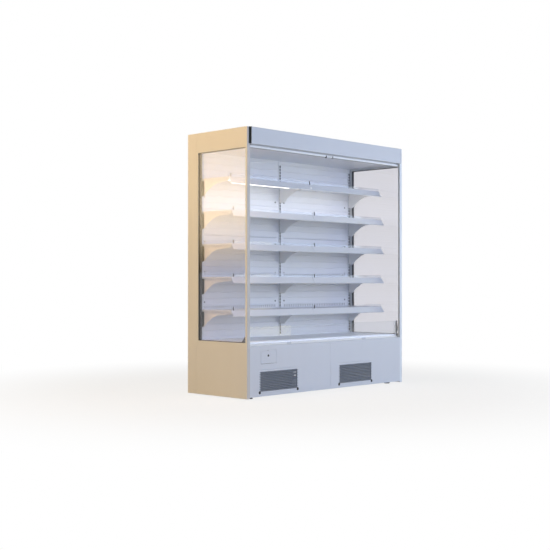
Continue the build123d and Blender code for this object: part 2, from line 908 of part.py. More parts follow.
def hatch_ears():
    """Two ears behind the left front panel, bored for the pins of the hatch."""
    ears = []
    for outer, inward in ((hatch_x[0] - hatch_gap, -1), (hatch_x[1] + hatch_gap, 1)):
        x = sorted((outer, outer + inward * hatch_ear))
        half = 3 * hatch_pin_radius
        ear = block(x, (front_y + sheet, hinge_y + half), (hinge_z - half, hinge_z + half))
        start = (x[0] - 1, hinge_y, hinge_z)
        ears.append(ear - rod(start, (1, 0, 0), hatch_pin_radius + running_gap, hatch_ear + 2))
    return ears


def condenser_grille(bay):
    """Grille behind its opening: a flat frame and a stack of sloping blades."""
    x = grille_x(bay)
    outer_x = (x[0] - grille_frame, x[1] + grille_frame)
    outer_z = (grille_z[0] - grille_frame, grille_z[1] + grille_frame)
    y = (front_y + sheet, front_y + sheet + grille_depth)
    body = block(outer_x, y, outer_z) - block(x, (y[0] - 1, y[1] + 1), grille_z)
    rows = int(grille_height // louvre_pitch)
    start = (grille_z[0] + grille_z[1]) / 2 - (rows - 1) * louvre_pitch / 2
    blade_y = (y[0] + louvre_inset, y[1] - louvre_inset)
    rise = louvre_blade * math.sin(math.radians(louvre_slope))
    for row in range(rows):
        low = start + row * louvre_pitch - rise / 2
        blade = [(blade_y[0], low), (blade_y[1], low + rise),
                 (blade_y[1], low + rise + louvre_sheet), (blade_y[0], low + louvre_sheet)]
        body += along_x(blade, (x[0] - 1, x[1] + 1))
    return body


def grille_screws():
    """Black screws at the lower corners of each grille."""
    heads = []
    for bay in bays():
        for x in (grille_x(bay)[0] - grille_screw_drop, grille_x(bay)[1] + grille_screw_drop):
            start = (x, front_y, grille_z[0] - grille_screw_drop)
            heads.append(prism(start, (0, -1, 0), grille_screw_radius, grille_screw_head, 8))
    return heads


def controller_hatch():
    """Hatch door: a plate flush with the panel, side flanges behind it, and two hinge pins."""
    door = block(hatch_x, (front_y, front_y + sheet), hatch_z)
    half = 2 * hatch_pin_radius
    for x0, outward in ((hatch_x[0], -1), (hatch_x[1], 1)):
        root = x0 - outward * 2 * sheet
        flange = sorted((x0, root))
        flange_z = (hatch_z[0], hinge_z + half + hatch_flange_depth)
        door += block(flange, (front_y + sheet, hinge_y + half), flange_z)
        door += rod((root, hinge_y, hinge_z), (outward, 0, 0), hatch_pin_radius,
                    2 * sheet + hatch_gap + hatch_ear)
    return door - rod((lock_x, front_y - 1, lock_z), (0, 1, 0), lock_radius + running_gap, sheet + 2)


def hatch_lock():
    """Quarter-turn lock: a slotted head, a barrel through the door and a tongue behind the panel."""
    tongue_y = (front_y + 2 * sheet, front_y + 2 * sheet + lock_tongue_sheet)
    head = prism((lock_x, front_y - lock_head, lock_z), (0, 1, 0), lock_head_radius, lock_head, round_sides)
    head -= block((lock_x - lock_head / 2, lock_x + lock_head / 2),
                  (front_y - 2 * lock_head, front_y - lock_head / 2),
                  (lock_z - lock_radius, lock_z + lock_radius))
    barrel = rod((lock_x, front_y, lock_z), (0, 1, 0), lock_radius, tongue_y[1] - front_y)
    tongue = block((lock_x - lock_tongue_width / 2, lock_x + lock_tongue_width / 2), tongue_y,
                   (lock_z, lock_z + lock_tongue_reach))
    return head + barrel + tongue


def controller_limits():
    """Limits of the controller in its pocket."""
    return ((hatch_x[0] + controller_margin, hatch_x[1] - controller_margin),
            (pocket_rear - controller_depth, pocket_rear),
            (pocket_z[0], hatch_z[1] - controller_margin * 2))


def controller():
    """Controller with a recessed display, a row of keys and the well and pivot hole of the light switch."""
    x, y, z = controller_limits()
    body = block(x, y, z)
    middle = (z[0] + z[1]) / 2
    left = x[0] + display_inset
    body -= block((left, left + display_width), (y[0] - 1, y[0] + 1),
                  (middle - display_sink, middle - display_sink + display_height))
    for key in range(key_count):
        key_left = left + key * key_pitch
        key_top = middle - display_sink - key_drop
        key_z = (key_top - key_height, key_top)
        body += block((key_left, key_left + key_width), (y[0] - key_proud, y[0]), key_z)
    switch_x = x[1] - switch_inset
    half = (switch_width / 2 + touch_gap, switch_height / 2 + 2)
    body -= block((switch_x - half[0], switch_x + half[0]), (y[0] - 1, y[0] + switch_depth + 2),
                  (middle - half[1], middle + half[1]))
    pivot = (switch_x - switch_width, y[0] + switch_depth / 2, middle)
    return body - rod(pivot, (1, 0, 0), switch_pin_radius + running_gap, 2 * switch_width)


def light_switch():
    """Rocker of the light switch on its pivot pin."""
    x, y, z = controller_limits()
    middle = (z[0] + z[1]) / 2
    switch_x = x[1] - switch_inset
    half = switch_height / 2
    face = y[0] - switch_proud
    back = y[0] + switch_depth / 2 + 2
    outline = [(face, middle - half + 1), (face + switch_proud / 2, middle), (face, middle + half - 1),
               (y[0] + 1, middle + half), (back, middle + half / 3), (back, middle - half / 3),
               (y[0] + 1, middle - half)]
    rocker = along_x(outline, (switch_x - switch_width / 2, switch_x + switch_width / 2))
    pin_half = switch_width / 2 + switch_pin_end
    pivot = (switch_x - pin_half, y[0] + switch_depth / 2, middle)
    return rocker + rod(pivot, (1, 0, 0), switch_pin_radius, 2 * pin_half)


# ---------------------------------------------------------------- base frame and feet
def base_frame():
    """Machine floor, folded up along all four sides."""
    outside = block((-inner_half, inner_half), frame_y, (frame_bottom, frame_bottom + frame_flange))
    inside = block((-inner_half + frame_sheet, inner_half - frame_sheet),
                   (frame_y[0] + frame_sheet, frame_y[1] - frame_sheet),
                   (frame_top, frame_bottom + frame_flange + 1))
    return outside - inside


def levelling_feet():
    """Four feet: a sloping pad, a stud up to the frame and a lock nut."""
    feet = []
    for x in (-inner_half + foot_inset_x, inner_half - foot_inset_x):
        for y in (frame_y[0] + foot_inset_y, frame_y[1] - foot_inset_y):
            sole = Pos(x, y, 0) * RegularPolygon(foot_pad_radius, round_sides)
            pad = tapered(sole, foot_pad_radius - foot_pad_top_radius, foot_pad_height)
            length = frame_bottom - foot_pad_height
            stud = prism((x, y, foot_pad_height), (0, 0, 1), foot_stud_radius, length, 8)
            nut_start = (x, y, frame_bottom - foot_nut_height)
            nut = prism(nut_start, (0, 0, 1), foot_nut_radius, foot_nut_height, 6)
            feet.append(pad + stud + nut)
    return feet


# ---------------------------------------------------------------- refrigeration
def finned_coil(x, y, z, pitch):
    """Coil block: a comb of fins, an end plate at each end, and two headers on the left one."""
    comb_x = (x[0] + coil_end_plate, x[1] - coil_end_plate)
    count = int((comb_x[1] - comb_x[0]) // pitch)
    spacing = (comb_x[1] - comb_x[0]) / count
    front = [(comb_x[0], coil_fin_reach)]
    for index in range(count):
        middle = comb_x[0] + (index + 0.5) * spacing
        front += [(middle - coil_fin / 2, coil_fin_reach), (middle - coil_fin / 2, 0),
                  (middle + coil_fin / 2, 0), (middle + coil_fin / 2, coil_fin_reach)]
    front.append((comb_x[1], coil_fin_reach))
    near = [(place, y[0] + coil_fin_inset + depth) for place, depth in front]
    far = [(place, y[1] - coil_fin_inset - depth) for place, depth in reversed(front)]
    coil = along_z(near + far, (z[0] + coil_fin_inset, z[1] - coil_fin_inset))
    for end in ((x[0], comb_x[0]), (comb_x[1], x[1])):
        coil += block(end, y, z)
    bottom = z[0] + coil_tube_radius
    length = z[1] - z[0] - 2 * coil_tube_radius
    for header_y in (y[0] + 3 * coil_tube_radius, y[1] - 3 * coil_tube_radius):
        start = (x[0] - coil_tube_radius + header_overlap, header_y, bottom)
        coil += prism(start, (0, 0, 1), coil_tube_radius, length, 8)
    return coil


def condenser_coil():
    """Condenser behind the left grille."""
    x = (condenser_x - condenser_width / 2, condenser_x + condenser_width / 2)
    return finned_coil(x, condenser_y, condenser_z, condenser_fin_pitch)


def condenser_fan_shroud():
    """Box behind the condenser with a throat for the fan, and three struts that carry the motor."""
    x = (condenser_x - condenser_width / 2, condenser_x + condenser_width / 2)
    y = (condenser_y[1], condenser_y[1] + shroud_depth)
    along = (0, 1, 0)
    shell = block(x, y, condenser_z)
    shell -= block((x[0] + shroud_wall, x[1] - shroud_wall), (y[0] - 1, y[1] - shroud_wall),
                   (condenser_z[0] + shroud_wall, condenser_z[1] - shroud_wall))
    throat = condenser_fan_radius + fan_tip_gap
    rear = (condenser_x, y[1] - shroud_wall, condenser_axis_z)
    shell += prism(rear, along, throat + shroud_wall, shroud_depth, throat_sides)
    front = (condenser_x, y[0] - 1, condenser_axis_z)
    shell -= prism(front, along, throat, 3 * shroud_depth, throat_sides)
    rim = y[1] + shroud_depth - shroud_wall
    return shell + fan_motor(condenser_x, rim + strut_depth, condenser_axis_z, throat + shroud_wall, rim)


def fan_motor(x, front, z, reach, foot_front):
    """Motor with its shaft bore and three struts out to a ring, each with a foot that meets the ring."""
    motor = prism((x, front, z), (0, 1, 0), motor_radius, motor_length, round_sides)
    motor -= rod((x, front - 1, z), (0, 1, 0), motor_shaft_radius + running_gap, motor_bore_depth + 1)
    half = strut_width / 2
    for step in range(3):
        strut = block((-half, half), (front, front + half), (motor_radius - half, reach))
        foot = block((-half, half), (foot_front - sheet, front), (reach - shroud_wall, reach))
        motor += Pos(x, 0, z) * Rot(0, 120 * step, 0) * (strut + foot)
    return motor


def fan(radius, hub_front, x, z):
    """Axial fan on a shaft along Y: a hub and evenly spaced pitched blades."""
    wheel = prism((0, 0, 0), (0, 1, 0), fan_hub_radius, fan_hub_depth, round_sides)
    chord = radius * fan_blade_chord
    reach = math.sqrt(radius ** 2 - (chord / 2) ** 2)
    outline = [(-chord / 2, fan_hub_radius - shroud_wall), (chord / 2, fan_hub_radius - shroud_wall),
               (chord / 2, reach), (-chord / 2, reach)]
    blade = Pos(0, -fan_blade_sheet / 2, 0) * along_y(outline, (0, fan_blade_sheet))
    blade = Pos(0, fan_hub_depth / 2, 0) * Rot(0, 0, fan_blade_pitch) * blade
    for index in range(fan_blade_count):
        wheel += Rot(0, 360 * index / fan_blade_count, 0) * blade
    wheel += rod((0, fan_hub_depth, 0), (0, 1, 0), motor_shaft_radius, hub_motor_gap + shaft_in_motor)
    return Pos(x, hub_front, z) * wheel


def condenser_fan():
    """Fan that draws air through the condenser."""
    motor_front = condenser_y[1] + 2 * shroud_depth - shroud_wall + strut_depth
    hub_front = motor_front - hub_motor_gap - fan_hub_depth
    return fan(condenser_fan_radius, hub_front, condenser_x, condenser_axis_z)


def evaporator_coil():
    """Evaporator on the tub floor, under the deck."""
    end = inner_half - evaporator_end_inset
    y = (evaporator_front_y, evaporator_front_y + evaporator_depth)
    z = (tub_floor, tub_floor + evaporator_height)
    return finned_coil((-end, end), y, z, evaporator_fin_pitch)


def evaporator_fan_plate():
    """Plate across the tub with a throat for each fan, a flange under the deck, and the two motors."""
    half = inner_half - ledge_width
    line = [(fan_plate_y, tub_floor), (fan_plate_y, ledge_top), (fan_plate_y - fan_plate_flange, ledge_top)]
    plate = along_x(folded(line, sheet), (-half, half))
    throat = evaporator_fan_radius + fan_tip_gap
    motor_front = fan_plate_y + plate_motor_gap
    for x in (-evaporator_fan_x, evaporator_fan_x):
        start = (x, fan_plate_y - sheet - 1, fan_axis_z)
        plate -= prism(start, (0, 1, 0), throat, 2 * sheet + 2, throat_sides)
        plate += fan_motor(x, motor_front, fan_axis_z, throat + 2 * shroud_wall, fan_plate_y)
    return plate


def evaporator_fan(side):
    """One of the two fans that drive the cold air through the evaporator."""
    hub_front = fan_plate_y + plate_motor_gap - hub_motor_gap - fan_hub_depth
    return fan(evaporator_fan_radius, hub_front, side * evaporator_fan_x, fan_axis_z)


def compressor():
    """Hermetic compressor: a shell of stacked rings with its weld flange, on a foot plate with four pads."""
    base = frame_top + compressor_foot + compressor_pad
    top = frame_top + compressor_height
    r = compressor_radius
    seam = base + (top - base) / 2
    shoulder = top - r / 3
    body = shell_ring(r * 0.75, r, base, base + r / 4)
    body += shell_ring(r, r, base + r / 4, seam)
    body += shell_ring(r + weld_flange, r + weld_flange, seam - weld_flange, seam)
    body += shell_ring(r - sheet, r - sheet, seam, shoulder)
    body += shell_ring(r - sheet, r / 2, shoulder, top)
    reach = compressor_foot_reach
    foot_y = r * 0.6
    plate = block((-reach, reach), (-foot_y, foot_y), (base - sheet, base))
    body += Pos(compressor_x, compressor_y, 0) * plate
    inset = 2 * compressor_pad
    for x in (-reach + inset, reach - inset):
        for y in (-foot_y + inset, foot_y - inset):
            start = (compressor_x + x, compressor_y + y, frame_top)
            body += prism(start, (0, 0, 1), compressor_pad, base - frame_top, 6)
    for y, z in ((0, discharge_z), (pipe_bend, suction_z)):
        start = (compressor_x - r + 3 * stub_length, compressor_y + y, z)
        body += prism(start, (-1, 0, 0), pipe_radius + sheet, 4 * stub_length, 6)
    return body


def shell_ring(low_radius, high_radius, low, high):
    """One ring of the compressor's shell, with flat sides."""
    face = Pos(compressor_x, compressor_y, low) * RegularPolygon(low_radius, shell_sides)
    return tapered(face, low_radius - high_radius, high - low)


def tube(points):
    """Copper tube, six-sided here, along straight runs with bends of one radius."""
    path = FilletPolyline(*points, radius=pipe_bend)
    start = Plane(origin=points[0], z_dir=path % 0)
    return sweep(start * RegularPolygon(pipe_radius, 6), path=path)


def copper_pipework():
    """Discharge tube to the condenser, and suction tube down from the evaporator."""
    start_x = compressor_x - compressor_radius - stub_length - touch_gap
    turn_x = compressor_x - compressor_radius - discharge_reach
    coil_end = condenser_x + condenser_width / 2
    coil_y = sum(condenser_y) / 2
    discharge = tube([(start_x, compressor_y, discharge_z), (turn_x, compressor_y, discharge_z),
                      (turn_x, coil_y, discharge_z), (coil_end, coil_y, discharge_z)])
    suction_x = turn_x - pipe_bend
    suction_y = compressor_y + pipe_bend
    suction = tube([(start_x, suction_y, suction_z), (suction_x, suction_y, suction_z),
                    (suction_x, suction_y, tub_underside)])
    return [discharge, suction]


# ---------------------------------------------------------------- writing the pieces
def main():
    os.makedirs("parts", exist_ok=True)
    left_x, right_x = mirrored(inner_half, outer_half)
    left_bay, right_bay = bays()
    levels = range(level_count)

    write("left_side_panel", side_panel(left_x))
    write("right_side_panel", side_panel(right_x))
    write("window_panes", *window_panes(left_x), *window_panes(right_x))
    write("window_gaskets", window_gasket(left_x), window_gasket(right_x))
    write("roof_panel", roof_panel())
    write("rear_wall", rear_wall())
    write("rear_skirt", rear_skirt())

    write("fascia_panel", fascia_panel())
    write("fascia_end_caps", fascia_end_cap(-1), fascia_end_cap(1))
    write("ceiling_panel", ceiling_panel())
    write("air_outlet", *air_outlet())
    write("blind_roller", blind_roller())
    write("blind_brackets", blind_bracket(-1), blind_bracket(1))
    write("blind_fabric", blind_fabric())
    write("blind_pull_bar", blind_pull_bar())
    write("blind_grip", blind_grip())

    write("shelf_uprights", *[upright(x) for x in upright_x])
    write("left_back_panel", back_panel(left_bay))
    write("right_back_panel", back_panel(right_bay))
    write("back_panel_screws", *back_panel_screws())

    for level in levels:
        row = level_count - level
        write(f"shelf_trays_row_{row}", *[shelf_tray(bay, level) for bay in bays()])
        write(f"price_rails_row_{row}", *[price_rail(bay, level) for bay in bays()])
    plate_places = [x for bay in bays() for x in hook_plate_x(bay)]
    write("hook_plates", *[hook_plate(x, level) for x in plate_places for level in levels])
    arm_places = [x for bay in bays() for x in arm_x(bay)]
    write("shelf_arms", *[shelf_arm(x, level) for x in arm_places for level in levels])
    write("product_stops", *[product_stop(bay, level) for bay in bays() for level in levels])
    write("shelf_lights", *[shelf_light(bay) for bay in bays()])

    write("deck_trays", *[deck_tray(bay) for bay in bays()])
    write("air_return_grilles", *[air_return_grille(bay) for bay in bays()])
    write("riser_glass", riser_glass())
    write("riser_channel", *riser_channel())
    write("riser_brackets", riser_bracket(-1), riser_bracket(1), riser_clip(-1), riser_clip(1))
    write("base_tub", base_tub())

    write("left_front_panel", front_panel(left_bay) - hatch_opening() + hatch_ears())
    write("right_front_panel", front_panel(right_bay))
    write("condenser_grilles", *[condenser_grille(bay) for bay in bays()])
    write("grille_screws", *grille_screws())
    write("controller_hatch", controller_hatch())
    write("hatch_lock", hatch_lock())
    write("controller", controller())
    write("light_switch", light_switch())

    write("base_frame", base_frame())
    write("levelling_feet", *levelling_feet())
    write("condenser_coil", condenser_coil())
    write("condenser_fan_shroud", condenser_fan_shroud())
    write("condenser_fan", condenser_fan())
    write("evaporator_coil", evaporator_coil())
    write("evaporator_fan_plate", evaporator_fan_plate())
    write("left_evaporator_fan", evaporator_fan(-1))
    write("right_evaporator_fan", evaporator_fan(1))
    write("compressor", compressor())
    write("copper_pipework", *copper_pipework())


main()
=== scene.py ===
import math

import bpy
from mathutils import Matrix, Vector

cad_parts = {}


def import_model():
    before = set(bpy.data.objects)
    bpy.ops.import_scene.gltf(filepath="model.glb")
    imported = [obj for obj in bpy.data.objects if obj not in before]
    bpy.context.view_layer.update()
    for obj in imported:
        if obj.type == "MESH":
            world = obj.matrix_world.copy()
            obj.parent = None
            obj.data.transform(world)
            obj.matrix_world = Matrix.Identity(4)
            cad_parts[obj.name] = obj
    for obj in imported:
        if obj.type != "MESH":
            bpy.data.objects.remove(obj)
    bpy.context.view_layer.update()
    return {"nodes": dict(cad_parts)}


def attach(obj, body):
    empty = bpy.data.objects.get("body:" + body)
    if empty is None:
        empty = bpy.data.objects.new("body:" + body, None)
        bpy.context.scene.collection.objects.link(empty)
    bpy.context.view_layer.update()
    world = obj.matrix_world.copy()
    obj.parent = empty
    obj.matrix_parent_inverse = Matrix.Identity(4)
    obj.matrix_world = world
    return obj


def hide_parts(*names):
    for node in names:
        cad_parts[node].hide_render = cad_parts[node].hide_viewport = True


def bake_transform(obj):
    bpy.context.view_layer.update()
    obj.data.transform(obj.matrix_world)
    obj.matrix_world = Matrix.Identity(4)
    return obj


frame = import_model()

# -------- sizes
sheet = 0.0015
inner_half = 0.895
front_y = -0.320
wall_front = 0.295
rear_y = 0.335
roof_top = 1.9985
panel_face = 0.243
upright_face = 0.237
deck_top = 0.420
ceiling_z = 1.868
tub_floor = 0.265

upright_x = (-0.883, 0.0, 0.883)
upright_width = 0.024
upright_sheet = 0.0012
slot_pitch = 0.025
slot_width = 0.0145
slot_height = 0.0185
slot_offset = 0.0025
post_bend = 0.002
first_slot = 0.436

shelf_levels = 5
lowest_tray_top = 0.652
level_pitch = 0.250
short_tray_front = -0.092
long_tray_front = -0.122
plate_outer_x = 0.88425
plate_rivet_drop = 0.108
panel_screw_x = (-0.831, -0.052, 0.052, 0.831)
panel_screw_z = (0.709, 0.940, 1.176, 1.522)

rib_pitch = 0.050
first_rib = 0.437
rib_height = 0.010
rib_depth = 0.0034
air_slot_rows = (0.670, 0.9255, 1.233)
air_slot_pitch = 0.022
air_slot_width = 0.006
air_slot_height = 0.018
air_slot_margin = 0.030

roller_y = -0.2757
roller_z = 1.910
roll_radius = 0.0235
fabric_y = -0.300
fabric_half = 0.865
fabric_sheet = 0.0007
tube_radius = 0.0162
shaft_radius = 0.005
bar_top = 1.868
outlet_y = (-0.2457, -0.1897)
outlet_cell = 0.010

grille_left = (-0.787, 0.108)
grille_width = 0.396
grille_z = (0.055, 0.201)
grille_frame = 0.006
grille_depth = 0.008
grille_screw_out = 0.007
grille_washer = 0.0009
louvre_rows = 12
hatch_lock_place = (-0.704, front_y, 0.318)

window_y = (-0.302, 0.214)
window_z = (0.418, 1.849)
riser_y = -0.2825
riser_clip_x = inner_half / 2

forward, backward, upward = (0, -1, 0), (0, 1, 0), (0, 0, 1)


# -------- shader maths
class Value:
    """A shader socket. Python's operators on it add Math nodes."""

    def __init__(self, finish, socket):
        self.finish = finish
        self.socket = socket

    def maths(self, operation, *values):
        return self.finish.node("Math", {"operation": operation}, dict(enumerate(values)))

    def __add__(self, other):
        return self.maths("ADD", self, other)

    def __radd__(self, other):
        return self.maths("ADD", other, self)

    def __sub__(self, other):
        return self.maths("SUBTRACT", self, other)

    def __rsub__(self, other):
        return self.maths("SUBTRACT", other, self)

    def __mul__(self, other):
        return self.maths("MULTIPLY", self, other)

    def __rmul__(self, other):
        return self.maths("MULTIPLY", other, self)

    def wave(self):
        return self.maths("SINE", self)

    def root(self):
        return self.maths("SQRT", self)

    def above(self, limit, softness):
        """0 below the limit, 1 above it, with a soft step between."""
        sockets = {0: self, 1: limit - softness, 2: limit + softness}
        return self.finish.node("MapRange", {"interpolation_type": "SMOOTHSTEP"}, sockets)

    def capped(self):
        """Kept between 0 and 1."""
        return self.finish.node("Clamp", {}, {0: self})


class Finish:
    """A material, or the world, and the nodes that make it."""

    def __init__(self, name, made=None):
        self.material = made or bpy.data.materials.new(name)
        self.material.use_nodes = True
        self.tree = self.material.node_tree
        self.tree.nodes.clear()
        self.place = self.node("TexCoord", {}, {}, "Object")

    def node(self, kind, settings, sockets, output=0):
        made = self.tree.nodes.new("ShaderNode" + kind)
        for name, value in settings.items():
            setattr(made, name, value)
        for name, value in sockets.items():
            if isinstance(value, Value):
                self.tree.links.new(value.socket, made.inputs[name])
            else:
                made.inputs[name].default_value = value
        return Value(self, made.outputs[output])

    def stretched(self, scale):
        """Places on the object, stretched by a factor along each axis."""
        return self.node("VectorMath", {"operation": "MULTIPLY"}, {0: self.place, 1: scale})

    def axis(self, name):
        return self.node("SeparateXYZ", {}, {0: self.place}, name)

    def noise(self, scale, detail=2.0, place=None, rough=0.5):
        sockets = {"Vector": place or self.place, "Scale": scale, "Detail": detail, "Roughness": rough}
        return self.node("TexNoise", {}, sockets)

    def cells(self, scale, output="Distance"):
        return self.node("TexVoronoi", {}, {"Vector": self.place, "Scale": scale}, output)

    def mix(self, share, first, second):
        """Colour between two colours."""
        return self.node("Mix", {"data_type": "RGBA"}, {0: share, 6: first, 7: second}, 2)

    def bump(self, height, distance):
        return self.node("Bump", {}, {"Height": height, "Distance": distance, "Strength": 1.0})

    def surface(self, sockets):
        """Ends the material with a Principled shader."""
        self.end(self.node("BsdfPrincipled", {}, sockets))
        return self.material

    def ray(self, kind):
        return self.node("LightPath", {}, {}, f"Is {kind} Ray")

    def seen(self):
        """1 for rays to the camera, and for those that reach it by a mirror or through glass."""
        return (self.ray("Camera") + self.ray("Glossy") + self.ray("Transmission")).capped()

    def end(self, shader, kind="Material"):
        output = self.tree.nodes.new("ShaderNodeOutput" + kind)
        self.tree.links.new(shader.socket, output.inputs[0])


def rgba(red, green, blue):
    return (red, green, blue, 1.0)


# -------- finishes
def painted(name, colour, shade, gloss, scuffs=0.5, edge=None):
    """Baked paint on sheet metal: orange peel, cloudy gloss, faint streaks and scuffs near the floor. What
    lies in the plane of the front takes the edge colour: painted light and painted shade on the front edges."""
    finish = Finish(name)
    scuff_top, scuff_fade = 0.16, 0.14
    peel_height = 0.00004
    cloud = finish.noise(2.2, 4)
    streak = finish.noise(9, 3, finish.stretched((1, 1, 0.06)))
    height = finish.axis("Z")
    low = 1 - height.above(scuff_top, scuff_fade)
    scuff = finish.noise(38, 6, finish.stretched((1, 1, 2.4)), 0.62).above(0.60, 0.05) * low * scuffs
    tone = (cloud * 0.55 + streak * 0.45 + scuff * 0.6).capped()
    fine = finish.noise(850, 2)
    wave = finish.noise(26, 2)
    paint = finish.mix(tone, colour, shade)
    # Painted light and shade: the front edges take their own colour, darker on one side panel and lighter on
    # the other.
    if edge:
        paint = finish.mix(finish.axis("Y").above(front_y + 0.0012, 0.0004), edge, paint)
    return finish.surface({
        "Base Color": paint,
        "Roughness": gloss + 0.10 * (cloud - 0.5) + 0.25 * scuff + 0.05 * (streak - 0.5),
        "Normal": finish.bump(fine + wave * 1.5, peel_height),
        "IOR": 1.5,
    })


def clear(name, tint, smear):
    """Clear sheet with faint wiping marks. Light from lamps passes straight through it."""
    finish = Finish(name)
    wipe = finish.noise(5, 5, finish.stretched((1, 1, 0.35)), 0.6)
    dust = finish.noise(160, 3).above(0.66, 0.06)
    glass = finish.node("BsdfPrincipled", {}, {
        "Base Color": tint,
        "Roughness": 0.004 + smear * wipe.above(0.55, 0.2) + 0.02 * dust,
        "Transmission Weight": 1.0,
        "IOR": 1.48,
    })
    free = finish.node("BsdfTransparent", {}, {0: tint})
    finish.end(finish.node("MixShader", {}, {0: finish.ray("Shadow"), 1: glass, 2: free}))
    return finish.material


def moulded(name, colour, shade, gloss, grain=0.00005, scale=900):
    """Moulded plastic or rubber with a fine grain and slight wear."""
    finish = Finish(name)
    cloud = finish.noise(14, 4)
    pits = finish.cells(scale)
    return finish.surface({
        "Base Color": finish.mix(cloud, colour, shade),
        "Roughness": gloss + 0.14 * (cloud - 0.5),
        "Normal": finish.bump(pits + 0.4 * finish.noise(scale * 2, 2), grain),
    })


def zinc(name, bright, dark):
    """Hot-dip zinc with its crystal flowers."""
    finish = Finish(name)
    flowers = 46
    tone = finish.node("SeparateColor", {}, {0: finish.cells(flowers, "Color")})
    fine = finish.noise(420, 3)
    return finish.surface({
        "Base Color": finish.mix((tone * 0.8 + fine * 0.2).capped(), bright, dark),
        "Metallic": 0.85,
        "Roughness": 0.42 + 0.16 * (tone - 0.5) + 0.05 * fine,
        "Normal": finish.bump(tone * 0.6 + fine * 0.4, 0.00004),
    })


def brushed(name, bright, dark, along, gloss):
    """Brushed or drawn metal with its lines along one direction."""
    finish = Finish(name)
    line_stretch = 0.012
    stretch = tuple(line_stretch if axis == along else 1.0 for axis in "XYZ")
    lines = finish.noise(900, 3, finish.stretched(stretch))
    cloud = finish.noise(12, 3)
    return finish.surface({
        "Base Color": finish.mix((lines * 0.7 + cloud * 0.3).capped(), bright, dark),
        "Metallic": 1.0,
        "Roughness": gloss + 0.14 * (lines - 0.5) + 0.06 * (cloud - 0.5),
        "Normal": finish.bump(lines, 0.00003),
    })


def woven(name, colour, shade):
    """Tight woven polyester: warp and weft threads with fine slubs."""
    finish = Finish(name)
    threads = 4200.0
    weave = (finish.axis("X") * threads).wave() * (finish.axis("Z") * threads).wave()
    slub = finish.noise(60, 3, finish.stretched((1, 1, 0.1)))
    return finish.surface({
        "Base Color": finish.mix((0.5 + 0.3 * weave + 0.5 * (slub - 0.5)).capped(), colour, shade),
        "Roughness": 0.82 + 0.08 * (slub - 0.5),
        "Normal": finish.bump(weave, 0.00008),
    })


def lamp_cover():
    """White lamp housing whose lower half glows, a little brighter at each diode."""
    finish = Finish("lamp_cover")
    cover_top, diode_waves = 1.6305, 190.0
    glow = 1 - finish.axis("Z").above(cover_top, 0.0012)
    light = glow * (0.86 + 0.14 * (finish.axis("X") * diode_waves).wave())
    cloud = finish.noise(30, 3)
    return finish.surface({
        "Base Color": finish.mix(cloud, rgba(0.84, 0.85, 0.86), rgba(0.79, 0.80, 0.81)),
        "Roughness": 0.36 + 0.1 * (cloud - 0.5),
        "Emission Color": finish.mix(light, rgba(0, 0, 0), rgba(1.0, 0.98, 0.94)),
        "Emission Strength": 2.4,
        "Normal": finish.bump(finish.noise(700, 2), 0.00003),
    })


# Painted light: both side panels wear one paint, drawn warm on the left and cool on the right after the lamps
# that light them. Their front edges are painted shade on the left, darker, and painted light on the right,
# lighter and bluer.
left_side_painted_warm_light = painted("left_side_painted_warm_light", rgba(0.70, 0.685, 0.655), rgba(0.655, 0.64, 0.605), 0.38, 0.6,
                     edge=rgba(0.57, 0.565, 0.575))
right_side_painted_cool_light = painted("right_side_painted_cool_light", rgba(0.69, 0.70, 0.715), rgba(0.645, 0.655, 0.67), 0.38, 0.6,
                         edge=rgba(0.74, 0.80, 0.88))
front_paint = painted("front_paint", rgba(0.66, 0.70, 0.78), rgba(0.61, 0.65, 0.73), 0.32)
inside_paint = painted("inside_paint", rgba(0.86, 0.88, 0.92), rgba(0.81, 0.83, 0.88), 0.40, 0.2)
shelf_paint = painted("shelf_paint", rgba(0.80, 0.83, 0.89), rgba(0.75, 0.78, 0.84), 0.34, 0.2)
# Painted light: the deck wears a lighter copy of the inside white, for the canopy light that falls on it.
deck_paint_painted_light = painted("deck_paint_painted_light", rgba(0.93, 0.95, 0.98), rgba(0.90, 0.92, 0.95), 0.34, 0.2)
# Painted light: the shelf arms wear a lighter white for the light that their sides lack.
arm_paint_painted_light = painted("arm_paint_painted_light", rgba(0.93, 0.92, 0.92), rgba(0.89, 0.88, 0.88), 0.40, 0.0)
channel_plastic = moulded("channel_plastic", rgba(0.88, 0.89, 0.90), rgba(0.82, 0.83, 0.85), 0.30)
rear_paint = painted("rear_paint", rgba(0.66, 0.68, 0.70), rgba(0.60, 0.62, 0.64), 0.42, 0.8)
window_glass = clear("window_glass", rgba(0.855, 0.85, 0.875), 0.02)
riser_clear = clear("riser_clear", rgba(0.84, 0.86, 0.89), 0.02)
stop_clear = clear("stop_clear", rgba(0.80, 0.81, 0.86), 0.04)
black_rubber = moulded("black_rubber", rgba(0.020, 0.020, 0.022), rgba(0.034, 0.033, 0.033), 0.62,
                       grain=0.00006, scale=500)
dark_plastic = moulded("dark_plastic", rgba(0.022, 0.030, 0.036), rgba(0.036, 0.044, 0.050), 0.40)
